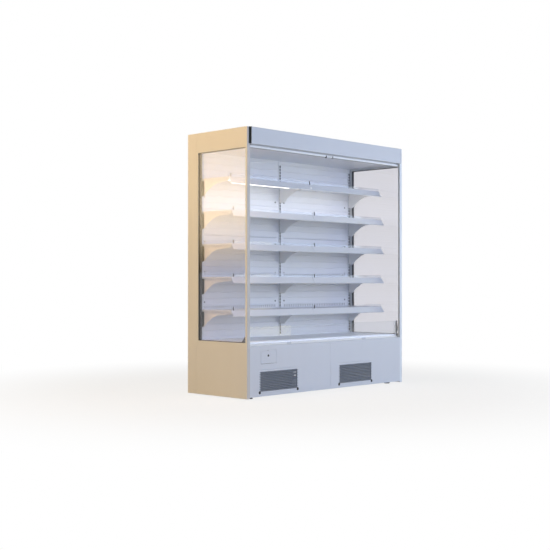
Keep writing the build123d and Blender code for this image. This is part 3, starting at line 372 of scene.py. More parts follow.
# Painted shade: the grille plastic is drawn darker than the front panels for the shade between the blades.
grille_plastic_painted_shade = moulded("grille_plastic_painted_shade", rgba(0.21, 0.235, 0.285), rgba(0.25, 0.275, 0.325), 0.46)
light_plastic = moulded("light_plastic", rgba(0.70, 0.72, 0.75), rgba(0.62, 0.64, 0.67), 0.36)
key_plastic = moulded("key_plastic", rgba(0.030, 0.032, 0.036), rgba(0.046, 0.048, 0.052), 0.42)
grey_plastic = moulded("grey_plastic", rgba(0.42, 0.44, 0.47), rgba(0.37, 0.39, 0.42), 0.44)
black_steel = painted("black_steel", rgba(0.018, 0.016, 0.015), rgba(0.032, 0.028, 0.026), 0.40, 0.3)
zinc_sheet = zinc("zinc_sheet", rgba(0.70, 0.72, 0.74), rgba(0.50, 0.52, 0.55))
bar_paint = painted("bar_paint", rgba(0.80, 0.83, 0.88), rgba(0.74, 0.77, 0.82), 0.30, 0.0)
drawn_bar = brushed("drawn_bar", rgba(0.86, 0.87, 0.90), rgba(0.70, 0.71, 0.75), "X", 0.32)
plated = brushed("plated", rgba(0.72, 0.72, 0.73), rgba(0.50, 0.50, 0.52), "Y", 0.26)
fin_metal = brushed("fin_metal", rgba(0.76, 0.78, 0.80), rgba(0.60, 0.62, 0.64), "Z", 0.34)
copper = brushed("copper", rgba(0.72, 0.36, 0.22), rgba(0.44, 0.20, 0.12), "X", 0.32)
blind_weave = woven("blind_weave", rgba(0.62, 0.64, 0.67), rgba(0.50, 0.52, 0.55))
lamp = lamp_cover()


# -------- mesh makers
def piece(name, vertices, faces, material, body, smooth=False):
    """One mesh that rides on a body of the CAD model."""
    mesh = bpy.data.meshes.new(name)
    mesh.from_pydata([tuple(v) for v in vertices], [], faces)
    mesh.validate()
    mesh.update()
    if smooth:
        mesh.shade_smooth()
    made = bpy.data.objects.new(name, mesh)
    bpy.context.scene.collection.objects.link(made)
    made.data.materials.append(material)
    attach(made, body)
    return made


def boxes(limits):
    """Vertices and faces of many boxes, each given by its limits on X, Y and Z."""
    vertices, faces = [], []
    for x, y, z in limits:
        first = len(vertices)
        vertices += [(a, b, c) for c in z for b in y for a in x]
        for quad in ((0, 2, 3, 1), (4, 5, 7, 6), (0, 1, 5, 4), (2, 6, 7, 3), (0, 4, 6, 2), (1, 3, 7, 5)):
            faces.append([first + corner for corner in quad])
    return vertices, faces


def joined(*parts):
    """Several sets of vertices and faces as one."""
    vertices, faces = [], []
    for some_vertices, some_faces in parts:
        first = len(vertices)
        vertices += some_vertices
        faces += [[first + corner for corner in face] for face in some_faces]
    return vertices, faces


def turned(profile, steps, place=Matrix.Identity(4)):
    """A profile of (radius, height) points turned round Z, then put in its place. It starts and ends on
    the axis."""
    vertices, faces = [], []
    inner = profile[1:-1]
    for radius, height in inner:
        for step in range(steps):
            angle = 2 * math.pi * step / steps
            vertices.append((radius * math.cos(angle), radius * math.sin(angle), height))
    for ring in range(len(inner) - 1):
        for step in range(steps):
            after = (step + 1) % steps
            faces.append([ring * steps + step, ring * steps + after,
                          (ring + 1) * steps + after, (ring + 1) * steps + step])
    for end, ring in ((profile[0], 0), (profile[-1], len(inner) - 1)):
        tip = len(vertices)
        vertices.append((0, 0, end[1]))
        for step in range(steps):
            after = (step + 1) % steps
            corners = [ring * steps + step, ring * steps + after, tip]
            faces.append(corners if ring else corners[::-1])
    return [place @ Vector(v) for v in vertices], faces


def pointing(place, direction):
    """Matrix that takes Z to a direction and the origin to a place."""
    return Matrix.Translation(place) @ Vector(direction).to_track_quat("Z", "Y").to_matrix().to_4x4()


def repeated(profile, steps, places, direction=upward):
    """The same turned profile at many places."""
    return joined(*[turned(profile, steps, pointing(place, direction)) for place in places])


def domed(radius, height):
    """Profile of a flat domed rivet head."""
    return [(0, 0), (radius, 0), (radius * 0.95, height * 0.5), (radius * 0.6, height * 0.92), (0, height)]


def soften(made, width, segments=2):
    """Rounded edges on a piece."""
    bevel = made.modifiers.new("edges", "BEVEL")
    bevel.width = width
    bevel.segments = segments
    bevel.limit_method = "ANGLE"
    made.data.shade_smooth()
    made.modifiers.new("normals", "WEIGHTED_NORMAL")


def pierced(columns, rows, holes, place):
    """Sheet on a grid of columns and rows, open where a cell's middle lies in a hole. place turns (column,
    row) into a point."""
    vertices = [place(column, row) for row in rows for column in columns]
    wide = len(columns)
    faces = []
    for r in range(len(rows) - 1):
        for c in range(wide - 1):
            middle = ((columns[c] + columns[c + 1]) / 2, (rows[r] + rows[r + 1]) / 2)
            if not any(a[0] < middle[0] < a[1] and b[0] < middle[1] < b[1] for a, b in holes):
                start = r * wide + c
                faces.append([start, start + 1, start + wide + 1, start + wide])
    return vertices, faces


def opening_frame(x, y, z, clear_y, clear_z):
    """Closed rectangular frame across X, round a clear opening."""
    vertices = []
    for side in x:
        for across, up in ((y, z), (clear_y, clear_z)):
            vertices += [(side, across[0], up[0]), (side, across[1], up[0]), (side, across[1], up[1]),
                         (side, across[0], up[1])]
    faces = []
    for k in range(4):
        after = (k + 1) % 4
        faces += [[k, 4 + k, 4 + after, after], [8 + k, 8 + after, 12 + after, 12 + k],
                  [k, after, 8 + after, 8 + k], [4 + k, 12 + k, 12 + after, 4 + after]]
    return vertices, faces


def slab(grid, shift):
    """Closed solid between a grid of points and the same grid shifted."""
    high, wide = len(grid), len(grid[0])
    points = [Vector(point) for row in grid for point in row]
    many = len(points)
    vertices = points + [point + Vector(shift) for point in points]
    faces = []
    for r in range(high - 1):
        for c in range(wide - 1):
            start = r * wide + c
            quad = [start, start + 1, start + wide + 1, start + wide]
            faces += [quad, [many + corner for corner in reversed(quad)]]
    rim = list(range(wide)) + [r * wide + wide - 1 for r in range(1, high)]
    rim += [(high - 1) * wide + c for c in range(wide - 2, -1, -1)]
    rim += [r * wide for r in range(high - 2, 0, -1)]
    for k, corner in enumerate(rim):
        after = rim[(k + 1) % len(rim)]
        faces.append([after, corner, many + corner, many + after])
    return vertices, faces


def extruded(outline, x):
    """Closed prism of an outline of (y, z) points between two places on X."""
    count = len(outline)
    vertices = [(side, *point) for side in x for point in outline]
    faces = [[k, (k + 1) % count, count + (k + 1) % count, count + k] for k in range(count)]
    return vertices, faces + [list(range(count))[::-1], list(range(count, 2 * count))]


def bent(points, bend, steps=8):
    """Line through points, its corners rounded to one bend."""
    line = [Vector(points[0])]
    for before, corner, after in zip(points, points[1:], points[2:]):
        corner = Vector(corner)
        back = (Vector(before) - corner).normalized() * bend
        ahead = (Vector(after) - corner).normalized() * bend
        for step in range(steps + 1):
            angle = math.pi / 2 * step / steps
            line.append(corner + back * (1 - math.sin(angle)) + ahead * (1 - math.cos(angle)))
    return line + [Vector(points[-1])]


def tubing(line, radius, steps=16):
    """Round tube along a line, closed at both ends."""
    vertices, faces = [], []
    up = Vector((0.3, 0.2, 1.0))
    for k, point in enumerate(line):
        along = (line[min(k + 1, len(line) - 1)] - line[max(k - 1, 0)]).normalized()
        up = (up - along * up.dot(along)).normalized()
        side = along.cross(up)
        for step in range(steps):
            angle = 2 * math.pi * step / steps
            vertices.append(point + (side * math.cos(angle) + up * math.sin(angle)) * radius)
    for k in range(len(line) - 1):
        for step in range(steps):
            after = (step + 1) % steps
            faces.append([k * steps + step, k * steps + after,
                          (k + 1) * steps + after, (k + 1) * steps + step])
    last = (len(line) - 1) * steps
    return vertices, faces + [list(range(steps))[::-1], list(range(last, last + steps))]


def thickened(made, thickness, offset=-1):
    """Gives a sheet its thickness: away from its front, or to both sides where the offset is 0."""
    solid = made.modifiers.new("sheet", "SOLIDIFY")
    solid.thickness = thickness
    solid.offset = offset
    return made


# -------- wall panels and posts
def wall_panel(name, node, x):
    """Pressed back panel: ribs across it and rows of upright air slots. A slot that meets a rib ends
    there."""
    depth_at = {deck_top: 0.0, ceiling_z: 0.0}
    for index in range(int((ceiling_z - first_rib - rib_height) // rib_pitch) + 1):
        for step, share in ((-2, 0), (-1, 0.85), (0, 1), (1, 0.85), (2, 0)):
            depth_at[first_rib + rib_pitch * index + step * rib_height / 4] = rib_depth * share
    count = int((x[1] - x[0] - 2 * air_slot_margin) // air_slot_pitch)
    start = (x[0] + x[1]) / 2 - (count - 1) * air_slot_pitch / 2
    middles = [start + k * air_slot_pitch for k in range(count)]
    slots_x = [(middle - air_slot_width / 2, middle + air_slot_width / 2) for middle in middles]
    slots_z = [(z - air_slot_height / 2, z + air_slot_height / 2) for z in air_slot_rows]
    for low, high in slots_z:
        depth_at[low] = 0.0
        depth_at[high] = 0.0
    columns = sorted([x[0], x[1]] + [edge for pair in slots_x for edge in pair])
    rows = sorted(depth_at)
    after = {low: rows[rows.index(low) + 1] for low, _ in slots_z}
    holes = [(across, (low, after[low])) for across in slots_x for low, _ in slots_z]
    panel = pierced(columns, rows, holes, lambda column, row: (column, panel_face - depth_at[row], row))
    made = piece(name, *panel, inside_paint, "cabinet")
    thickened(made, sheet * 0.9)
    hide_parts(node)


def posts():
    """Channel posts with their slots, and black sheets behind the slots of posts and back panels that stand
    in for the shade in there: painted shade.
    """
    parts = []
    count = int((ceiling_z - slot_pitch - first_slot) // slot_pitch)
    slots = [(first_slot + k * slot_pitch, first_slot + k * slot_pitch + slot_height) for k in range(count)]
    rows = sorted([tub_floor, ceiling_z] + [edge for pair in slots for edge in pair])
    for middle, offset in zip(upright_x, (-slot_offset, 0, slot_offset)):
        left, right = middle - upright_width / 2, middle + upright_width / 2
        slot_x = middle + offset
        corner = 0.3 * post_bend
        line = [(left, wall_front), (left, upright_face + post_bend), (left + corner, upright_face + corner),
                (left + post_bend, upright_face), (slot_x - slot_width / 2, upright_face),
                (slot_x + slot_width / 2, upright_face), (right - post_bend, upright_face),
                (right - corner, upright_face + corner), (right, upright_face + post_bend),
                (right, wall_front)]
        holes = [((4, 5), pair) for pair in slots]
        parts.append(pierced(list(range(len(line))), rows, holes, lambda c, r: (*line[c], r)))
    made = piece("slotted_posts", *joined(*parts), inside_paint, "cabinet")
    thickened(made, upright_sheet)
    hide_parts("shelf_uprights")
    # Painted shade: a black strip inside each post, where there is only shade.
    depth = (upright_face + upright_sheet + 0.0002, upright_face + upright_sheet + 0.0012)
    half = upright_width / 2 - upright_sheet - 0.0003
    post_shade_strips = boxes([((middle - half, middle + half), depth, (tub_floor, ceiling_z)) for middle in upright_x])
    post_shade = piece("post_slot_painted_shade", *post_shade_strips, black_rubber, "cabinet")
    # Painted shade: a black sheet behind each back panel's slots, where there is only shade.
    depth = (panel_face + 0.0055, panel_face + 0.0065)
    slot_shade_boxes = boxes([(x, depth, (deck_top, ceiling_z)) for x in ((-0.870, -0.013), (0.013, 0.870))])
    slot_shade = piece("panel_slot_painted_shade", *slot_shade_boxes, black_rubber, "cabinet")


def screw_heads(name, node, places, radius, height):
    """Domed screw heads with a recess."""
    profile = [(0, 0), (radius, 0), (radius * 0.96, height * 0.30), (radius * 0.72, height * 0.82),
               (radius * 0.34, height), (radius * 0.30, height * 0.35), (0, height * 0.35)]
    made = piece(name, *repeated(profile, 16, places, forward), black_rubber, "cabinet", smooth=True)
    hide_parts(node)
    return made


wall_panel("left_wall_panel", "left_back_panel", (-0.871, -0.012))
wall_panel("right_wall_panel", "right_back_panel", (0.012, 0.871))
posts()
panel_screw_places = [(x, panel_face, z) for x in panel_screw_x for z in panel_screw_z]
panel_screws = screw_heads("panel_screw_heads", "back_panel_screws", panel_screw_places, 0.0066, 0.0018)
grille_corners = [(x, front_y, grille_z[0] - grille_screw_out) for left in grille_left
                  for x in (left - grille_screw_out, left + grille_width + grille_screw_out)]
washer = [(0, 0), (0.0115, 0), (0.0112, grille_washer * 0.7), (0.0098, grille_washer), (0, grille_washer)]
washers = piece("grille_washers", *repeated(washer, 24, grille_corners, forward), black_rubber, "cabinet",
                smooth=True)
front_screw_places = [(x, y - grille_washer, z) for x, y, z in grille_corners]
front_screws = screw_heads("grille_screw_heads", "grille_screws", front_screw_places, 0.0075, 0.0027)


# -------- side windows and front riser
def window_seals():
    """Black seals between the panes of each window. The right one shows only a slim rear edge."""
    lip, left_rear, right_rear = 0.004, 0.020, 0.008
    clear_z = (window_z[0] + lip, window_z[1] - lip)
    frames = []
    for x, rear in (((-0.919, -0.901), left_rear), ((0.901, 0.919), right_rear)):
        clear_y = (window_y[0] + lip, window_y[1] - rear)
        frames.append(opening_frame(x, window_y, window_z, clear_y, clear_z))
    made = piece("window_seals", *joined(*frames), black_rubber, "cabinet")
    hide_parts("window_gaskets")
    soften(made, 0.0008, 1)


def riser_ends():
    """What holds the riser: a gusset at its left end, drawn dark as painted shade, a slim dark clamp in a
    pale profile at its right end, and two clips on its lower edge."""
    outer = inner_half - 0.0003
    # Painted shade: the gusset wears black steel for the shade on its outer side.
    gusset_painted_shade = [(-0.2958, deck_top), (-0.2958, deck_top + 0.072), (-0.2338, deck_top)]
    clamp = [(-0.2915, 0.405), (-0.2735, 0.405), (-0.2735, 0.440), (-0.2680, 0.452), (-0.2680, 0.492),
             (-0.2735, 0.504), (-0.2735, 0.534), (-0.2915, 0.534), (-0.2915, 0.504), (-0.2970, 0.492),
             (-0.2970, 0.452), (-0.2915, 0.440)]
    holders = joined(extruded(gusset_painted_shade, (-outer, -outer + 0.003)), extruded(clamp, (outer - 0.006, outer)))
    made = piece("riser_end_holders", *holders, black_steel, "cabinet")
    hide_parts("riser_brackets")
    soften(made, 0.0006, 1)
    profile = boxes([((outer - 0.015, outer - 0.0065), (riser_y - 0.006, riser_y + 0.006), (0.407, 0.534))])
    made = piece("riser_end_profile", *profile, channel_plastic, "cabinet")
    soften(made, 0.0012, 2)
    clip_half = 0.025
    clip = [(-0.2895, 0.3905), (-0.2895, 0.4050), (-0.2862, 0.4058), (-0.2862, 0.3940), (-0.2788, 0.3940),
            (-0.2788, 0.4058), (-0.2755, 0.4050), (-0.2755, 0.3905)]
    clips = [extruded(clip, (x - clip_half, x + clip_half)) for x in (-riser_clip_x, riser_clip_x)]
    made = piece("riser_clips", *joined(*clips), light_plastic, "cabinet")
    soften(made, 0.0004, 1)


window_seals()
riser_ends()


# -------- canopy and night blind
def honeycomb():
    """Grid of thin walls in the air outlet that straightens the air curtain."""
    z = (ceiling_z, ceiling_z + 0.022)
    wall, gap, lanes = 0.0005, 0.001, 6
    across = (outlet_y[0] + gap, outlet_y[1] - gap)
    starts = [-inner_half + k * outlet_cell for k in range(1, int(2 * inner_half / outlet_cell))]
    walls = [((start, start + wall), across, z) for start in starts]
    for k in range(1, lanes):
        middle = outlet_y[0] + k * (outlet_y[1] - outlet_y[0]) / lanes
        walls.append(((-inner_half + gap, inner_half - gap), (middle - wall / 2, middle + wall / 2), z))
    made = piece("outlet_honeycomb", *boxes(walls), grey_plastic, "cabinet")


def wound_roll():
    """Blind wound on its tube, drawn as a spiral of cloth, with the ends of the shaft."""
    turns, steps, inner = 5, 28, 0.0165
    spiral = []
    for k in range(turns * steps + 1):
        angle = 2 * math.pi * k / steps
        radius = inner + (roll_radius - inner) * k / (turns * steps)
        spiral.append((roller_y + radius * math.cos(angle), roller_z + radius * math.sin(angle)))
    along = (-fabric_half, fabric_half)
    cloth = pierced(list(range(len(spiral))), along, [], lambda k, x: (x, *spiral[k]))
    roll = thickened(piece("wound_blind", *cloth, blind_weave, "blind_roller", smooth=True), fabric_sheet, 0)
    place = pointing((0, roller_y, roller_z), (1, 0, 0))
    rods, chamfer = [], 0.0004
    for half, radius, lead, around in ((fabric_half + 0.003, tube_radius, 0.003, 32),
                                       (inner_half - 0.006, shaft_radius, 0.0008, 20)):
        rod = [(0, -half), (radius - chamfer, -half), (radius, -half + lead), (radius, half - lead),
               (radius - chamfer, half), (0, half)]
        rods.append(turned(rod, around, place))
    core = piece("blind_tube", *joined(*rods), drawn_bar, "blind_roller", smooth=True)
    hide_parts("blind_roller")


def blind_cloth():
    """Free stretch of the blind. It leaves the roll at its front and hangs down into the pull bar."""
    wide, high, in_bar = 60, 28, 0.004
    columns = [-fabric_half + 2 * fabric_half * k / wide for k in range(wide + 1)]
    rows = [bar_top - in_bar + (roller_z - bar_top + in_bar) * k / high for k in range(high + 1)]

    def rippled(x, z):
        swell = math.sin(math.pi * (z - rows[0]) / (rows[-1] - rows[0]))
        return (x, fabric_y + 0.00025 * math.sin(9.0 * x) * swell, z)

    cloth = pierced(columns, rows, [], rippled)
    made = piece("night_blind_cloth", *cloth, blind_weave, "cabinet", smooth=True)
    made.parent = None
    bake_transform(made)
    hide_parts("blind_fabric")


def handle_lugs():
    """Dark end pieces of the pull bar's handle."""
    half = 0.0035
    lugs = [((x - half, x + half), (-0.3095, -0.2950), (1.8445, 1.8635)) for x in (-0.0385, 0.0385)]
    made = piece("handle_lugs", *boxes(lugs), dark_plastic, "blind_bar")
    soften(made, 0.0015)


honeycomb()
wound_roll()
blind_cloth()
handle_lugs()


# -------- lower front
def louvre_grilles():
    """Two grilles: a moulded frame, a stack of curved blades and the notches of the blades' ends."""
    parts, notches = [], []
    depth = (front_y + sheet, front_y + sheet + grille_depth)
    blade_rise, blade_sheet, steps = 0.0062, 0.0026, 6
    low, high = grille_z
    pitch = (high - low) / louvre_rows
    for left in grille_left:
        right = left + grille_width
        x = (left - grille_frame, right + grille_frame)
        z = (low - grille_frame, high + grille_frame)
        parts.append(boxes([((x[0], left), depth, z), ((right, x[1]), depth, z),
                            ((left, right), depth, (z[0], low)), ((left, right), depth, (high, z[1]))]))
        for row in range(louvre_rows):
            start = low + (row + 0.18) * pitch
            shares = [k / steps for k in range(steps + 1)]
            front = [(depth[0] + 0.0004 + share * (grille_depth - 0.001),
                      start + blade_rise * math.sin(share * math.pi / 2)) for share in shares]
            back = [(across, up + blade_sheet) for across, up in reversed(front)]
            parts.append(extruded(front + back, (left, right)))
        for x in ((left - 0.010, left), (right, right + 0.010)):
            for row in range(louvre_rows):
                middle = low + (row + 0.5) * pitch
                notches.append((x, (front_y - 0.0003, front_y + 0.0006), (middle - 0.003, middle + 0.003)))
    made = piece("louvre_grilles", *joined(*parts), grille_plastic_painted_shade, "cabinet")
    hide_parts("condenser_grilles")
    soften(made, 0.0004, 1)
    made = piece("grille_notches", *boxes(notches), grille_plastic_painted_shade, "cabinet")


def lock_collar():
    """Black collar round the head of the hatch's lock."""
    ring = [(0, 0), (0.0085, 0), (0.0085, 0.0006), (0.0078, 0.0012), (0, 0.0012)]
    collar = repeated(ring, 28, [hatch_lock_place], forward)
    made = piece("lock_collar", *collar, black_rubber, "hatch", smooth=True)


louvre_grilles()
lock_collar()


# -------- shelves
def tray_top(level):
    return lowest_tray_top + level * level_pitch


def front_of(level):
    """Place of a row's price rail. The top row is not as deep as the others."""
    return short_tray_front if level == shelf_levels - 1 else long_tray_front


def stop_clips():
    """Small dark uprights that hold the product stops at the left end and by the joint in the middle."""
    clips = []
    half, left_x, joint_x, top_joint_x = 0.0035, -0.868, 0.028, 0.003
    for level in range(shelf_levels):
        top, front = tray_top(level), front_of(level)
        for x in (left_x, top_joint_x if level == shelf_levels - 1 else joint_x):
            clips.append(((x - half, x + half), (front - 0.0012, front + 0.0055), (top - 0.004, top + 0.027)))
    made = piece("stop_clips", *boxes(clips), dark_plastic, "cabinet")
    soften(made, 0.0012)


def diffuser_edge_highlight():
    """Lower edge of the left lamp's cover below the rail, glowing. It stops where the bright line on the
    rail's lip fades, so it is partly a painted highlight.
    """
    line = [(-0.1185, 1.6035), (-0.1060, 1.6000), (-0.0990, 1.6060), (-0.1060, 1.6075), (-0.1160, 1.6075)]
    made = piece("lamp_cover_edge_painted_highlight", *extruded(line, (-0.876, -0.260)), lamp, "cabinet")
    soften(made, 0.0008, 1)


def plate_rivets():
    """Bright rivet head near the lower end of each outer hook plate, on its outer side."""
    profile = [(0, 0), (0.0042, 0), (0.0040, 0.0008), (0.0022, 0.0014), (0, 0.0015)]
    heights = [tray_top(level) - plate_rivet_drop for level in range(shelf_levels)]
    sides = [repeated(profile, 14, [(side * plate_outer_x, upright_face - 0.016, z) for z in heights],
                      (side, 0, 0)) for side in (-1, 1)]
    made = piece("plate_rivets", *joined(*sides), plated, "cabinet", smooth=True)


stop_clips()
plate_rivets()
diffuser_edge_highlight()


# -------- rear and roof
def rear_skin():
    """Outer sheets of the rear wall, with a strip over their joint and rows of rivets."""
    skin = rear_y - 0.0012
    half = inner_half - 0.0010
    z = (0.2265, 1.9575)
    joint, outer = 0.002, (skin - 0.004, skin)
    sheets = [((-half, half), (wall_front + 0.0005, outer[0]), z), ((-half, -joint), outer, z),
              ((joint, half), outer, z)]
    made = piece("rear_sheets", *boxes(sheets), rear_paint, "cabinet")
    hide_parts("rear_wall")
    soften(made, 0.0010)
    strip = boxes([((-0.022, 0.022), (skin - 0.0002, skin + 0.0007), (z[0] + 0.001, z[1] - 0.001))])
    made = piece("rear_joint_strip", *strip, rear_paint, "cabinet")
    soften(made, 0.0003, 1)
    margin, spaces = 0.024, 12
    heights = [z[0] + margin + k * (z[1] - z[0] - 2 * margin) / spaces for k in range(spaces + 1)]
    across = [side * (0.08 + 0.16 * k) for side in (-1, 1) for k in range(5)]
    places = [(x, skin, height) for x in (-0.880, 0.880) for height in heights]
    places += [(x, skin, height) for x in across for height in (heights[0], heights[-1])]
    on_strip = [(x, skin + 0.0006, height) for x in (-0.015, 0.015) for height in heights]
    heads = joined(repeated(domed(0.0038, 0.0011), 12, places, backward),
                   repeated(domed(0.0030, 0.0006), 12, on_strip, backward))
    made = piece("rear_rivets", *heads, plated, "cabinet", smooth=True)


def roof_trim():
    """Joint strip, rivets and plugs of the lifting holes on the roof."""
    strip = boxes([((-0.020, 0.020), (-0.268, 0.325), (roof_top - 0.0002, roof_top + 0.0007))])
    made = piece("roof_joint_strip", *strip, inside_paint, "cabinet")
    soften(made, 0.0003, 1)
    edges = [(x, y, roof_top) for x in (-0.878, 0.878) for y in (-0.24, -0.06, 0.12, 0.30)]
    edges += [(side * x, y, roof_top) for side in (-1, 1) for x in (0.30, 0.60) for y in (-0.24, 0.30)]
    made = piece("roof_rivets", *repeated(domed(0.0045, 0.0013), 12, edges), plated, "cabinet", smooth=True)
    plug = [(0, 0), (0.014, 0), (0.0138, 0.0008), (0.0125, 0.0013), (0, 0.0013)]
    places = [(x, y, roof_top) for x in (-0.80, 0.80) for y in (-0.16, 0.22)]
    made = piece("roof_plugs", *repeated(plug, 28, places), grey_plastic, "cabinet", smooth=True)


rear_skin()
roof_trim()


# -------- base and refrigeration
def feet():
    """Four levelling feet: a rubber-edged pad, a lock nut and a threaded stud."""
    places = [(x, y, 0) for x in (-0.820, 0.820) for y in (-0.238, 0.2735)]
    pad = [(0, 0), (0.0225, 0), (0.024, 0.0015), (0.024, 0.005), (0.0215, 0.0085), (0.012, 0.0098),
           (0.0095, 0.010), (0, 0.010)]
    core, crest, thread_pitch, threads, top = 0.0052, 0.006, 0.00125, 9, 0.030
    stud = [(0, 0.0095)]
    for k in range(threads):
        low = 0.010 + k * thread_pitch
        stud += [(core, low), (crest, low + 0.00062)]
    stud += [(core, 0.0222), (core, top), (0, top)]
    nut = [(0, 0.022), (0.0096, 0.022), (0.0102, 0.0228), (0.0102, 0.0292), (0.0096, top), (0, top)]
    made = piece("foot_pads", *repeated(pad, 36, places), key_plastic, "cabinet", smooth=True)
    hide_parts("levelling_feet")
    studs = joined(repeated(stud, 20, places), repeated(nut, 6, places))
    made = piece("foot_studs", *studs, plated, "cabinet")


def fan_wheel(name, centre, radius, reach):
    """Axial fan: a hub with a rounded nose on its shaft, and swept, twisted blades."""
    hub, depth, blades = 0.020, 0.018, 5
    shaft, shaft_end = 0.003, 0.036
    root_in, camber, blade_sheet = 0.0012, 0.0012, 0.0013
    sweep, half_chord, widening, untwist = 0.30, 0.40, 0.08, 0.28
    nose = [(0, 0), (0.012, 0), (0.0165, 0.0008), (0.0192, 0.0030), (hub, 0.0060), (hub, depth - 0.0010),
            (hub - 0.001, depth), (shaft, depth), (shaft, shaft_end), (0, shaft_end)]
    parts = [turned(nose, 36, pointing(centre, backward))]
    middle = Vector(centre) + Vector((0, depth / 2, 0))
    for blade in range(blades):
        grid = []
        for share in [i / 9 for i in range(10)]:
            across = hub - root_in + (radius - hub + root_in) * share
            row = []
            for chord in [j / 4 - 1 for j in range(9)]:
                tip_cut = 1 - 0.10 * share ** 4 * chord ** 2
                angle = 2 * math.pi * blade / blades + sweep * share
                angle += chord * (half_chord + widening * share) * tip_cut
                lift = reach * chord * (1 - untwist * share) - camber * (1 - chord ** 2)
                row.append(middle + Vector((across * math.cos(angle), lift, across * math.sin(angle))))
            grid.append(row)
        parts.append(slab(grid, (0, blade_sheet, 0)))
    made = piece(name + "_wheel", *joined(*parts), key_plastic, name, smooth=True)
    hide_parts(name)
    made.modifiers.new("normals", "WEIGHTED_NORMAL")


def compressor_shell():
    """Hermetic compressor: a drawn shell with its weld flange, rubber mounts and terminal cover."""
    wall, flange, seam = 0.0748, 0.0800, 0.1175
    shell = [(0, 0.0450), (0.030, 0.0453), (0.052, 0.0478), (0.066, 0.0540), (0.0728, 0.0630), (wall, 0.0760),
             (wall, seam - 0.0040), (flange, seam - 0.0034), (flange, seam + 0.0006), (wall, seam + 0.0012),
             (wall, 0.1490), (0.0728, 0.1610), (0.0670, 0.1720), (0.0560, 0.1810), (0.0400, 0.1870),
             (0.0200, 0.1895), (0, 0.1900)]
    plate = boxes([((0.196, 0.384), (-0.0256, 0.0656), (0.0435, 0.0460))])
    whole = joined(repeated(shell, 56, [(0.290, 0.020, 0)]), plate)
    made = piece("compressor_shell", *whole, black_steel, "cabinet", smooth=True)
    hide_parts("compressor")
    made.modifiers.new("normals", "WEIGHTED_NORMAL")
    mount = [(0, 0.0320), (0.0070, 0.0320), (0.0082, 0.0340), (0.0082, 0.0390), (0.0062, 0.0410),
             (0.0062, 0.0440), (0.0082, 0.0465), (0.0080, 0.0490), (0.0050, 0.0500), (0, 0.0500)]
    corners = [(x, y, 0) for x in (0.208, 0.372) for y in (-0.0116, 0.0516)]
    made = piece("compressor_mounts", *repeated(mount, 20, corners), black_rubber, "cabinet", smooth=True)
    cover = boxes([((0.350, 0.3835), (-0.008, 0.048), (0.094, 0.146)),
                   ((0.3835, 0.3855), (0.004, 0.036), (0.106, 0.134))])
    made = piece("compressor_terminal_cover", *cover, dark_plastic, "cabinet")
    soften(made, 0.003)


def copper_tubes():
    """Round copper tubes: discharge to the condenser, suction down from the tub, and their sleeves."""
    high, low = 0.12996, 0.08196
    bend, radius, sleeve = 0.024, 0.005, 0.0013
    port, sleeve_x = 0.216, (0.226, 0.209)
    discharge = [(port, 0.020, high), (0.152, 0.020, high), (0.152, -0.252, high), (-0.400, -0.252, high)]
    suction = [(port, 0.044, low), (0.128, 0.044, low), (0.128, 0.044, 0.225)]
    parts = [tubing(bent(line, bend), radius) for line in (discharge, suction)]
    for _, y, z in (discharge[0], suction[0]):
        parts.append(tubing([Vector((x, y, z)) for x in sleeve_x], radius + sleeve))
    made = piece("copper_tubes", *joined(*parts), copper, "cabinet", smooth=True)
    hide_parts("copper_pipework")
    made.modifiers.new("normals", "WEIGHTED_NORMAL")


def finned_coil(name, node, x, y, z, pitch, rows, levels):
    """Coil of thin fins between end plates, with the tubes through it and their return bends."""
    plate, fin_half, inset = 0.0012, 0.00018, 0.002
    count = int((x[1] - x[0] - 2 * plate) / pitch)
    middles = [x[0] + plate + (k + 0.5) * pitch for k in range(count)]
    within = ((y[0] + inset, y[1] - inset), (z[0] + inset, z[1] - inset))
    fins = [((middle - fin_half, middle + fin_half), *within) for middle in middles]
    ends = [((x[0], x[0] + plate), y, z), ((x[1] - plate, x[1]), y, z)]
    made = piece(name + "_fins", *boxes(fins + ends), fin_metal, "cabinet")
    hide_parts(node)
    reach, radius, bend, end = 0.0048, 0.0034, 0.0047, 0.0005
    out = x[0] - reach
    tubes = []
    rises = [z[0] + (level + 0.5) * (z[1] - z[0]) / levels for level in range(levels)]
    for row in range(rows):
        across = y[0] + (row + 0.5) * (y[1] - y[0]) / rows
        for rise in rises:
            tubes.append(tubing([Vector((side - end, across, rise)) for side in x], radius, 10))
        for low, high in zip(rises[::2], rises[1::2]):
            line = [(x[0], across, low), (out, across, low), (out, across, high), (x[0], across, high)]
            tubes.append(tubing(bent(line, bend, 5), radius, 10))
    made = piece(name + "_tubes", *joined(*tubes), copper, "cabinet", smooth=True)


feet()
fan_wheel("condenser_fan", (-0.590, -0.197, 0.107), radius=0.062, reach=0.0085)
for side, name in ((-1, "left_evaporator_fan"), (1, "right_evaporator_fan")):
    fan_wheel(name, (side * 0.420, -0.207, 0.3325), radius=0.048, reach=0.0075)
compressor_shell()
copper_tubes()
finned_coil("condenser", "condenser_coil", (-0.780, -0.400), (-0.274, -0.230), (0.032, 0.182),
            pitch=0.0030, rows=2, levels=6)
finned_coil("evaporator", "evaporator_coil", (-0.770, 0.770), (-0.130, 0.120), (tub_floor, 0.369),
            pitch=0.0060, rows=6, levels=4)


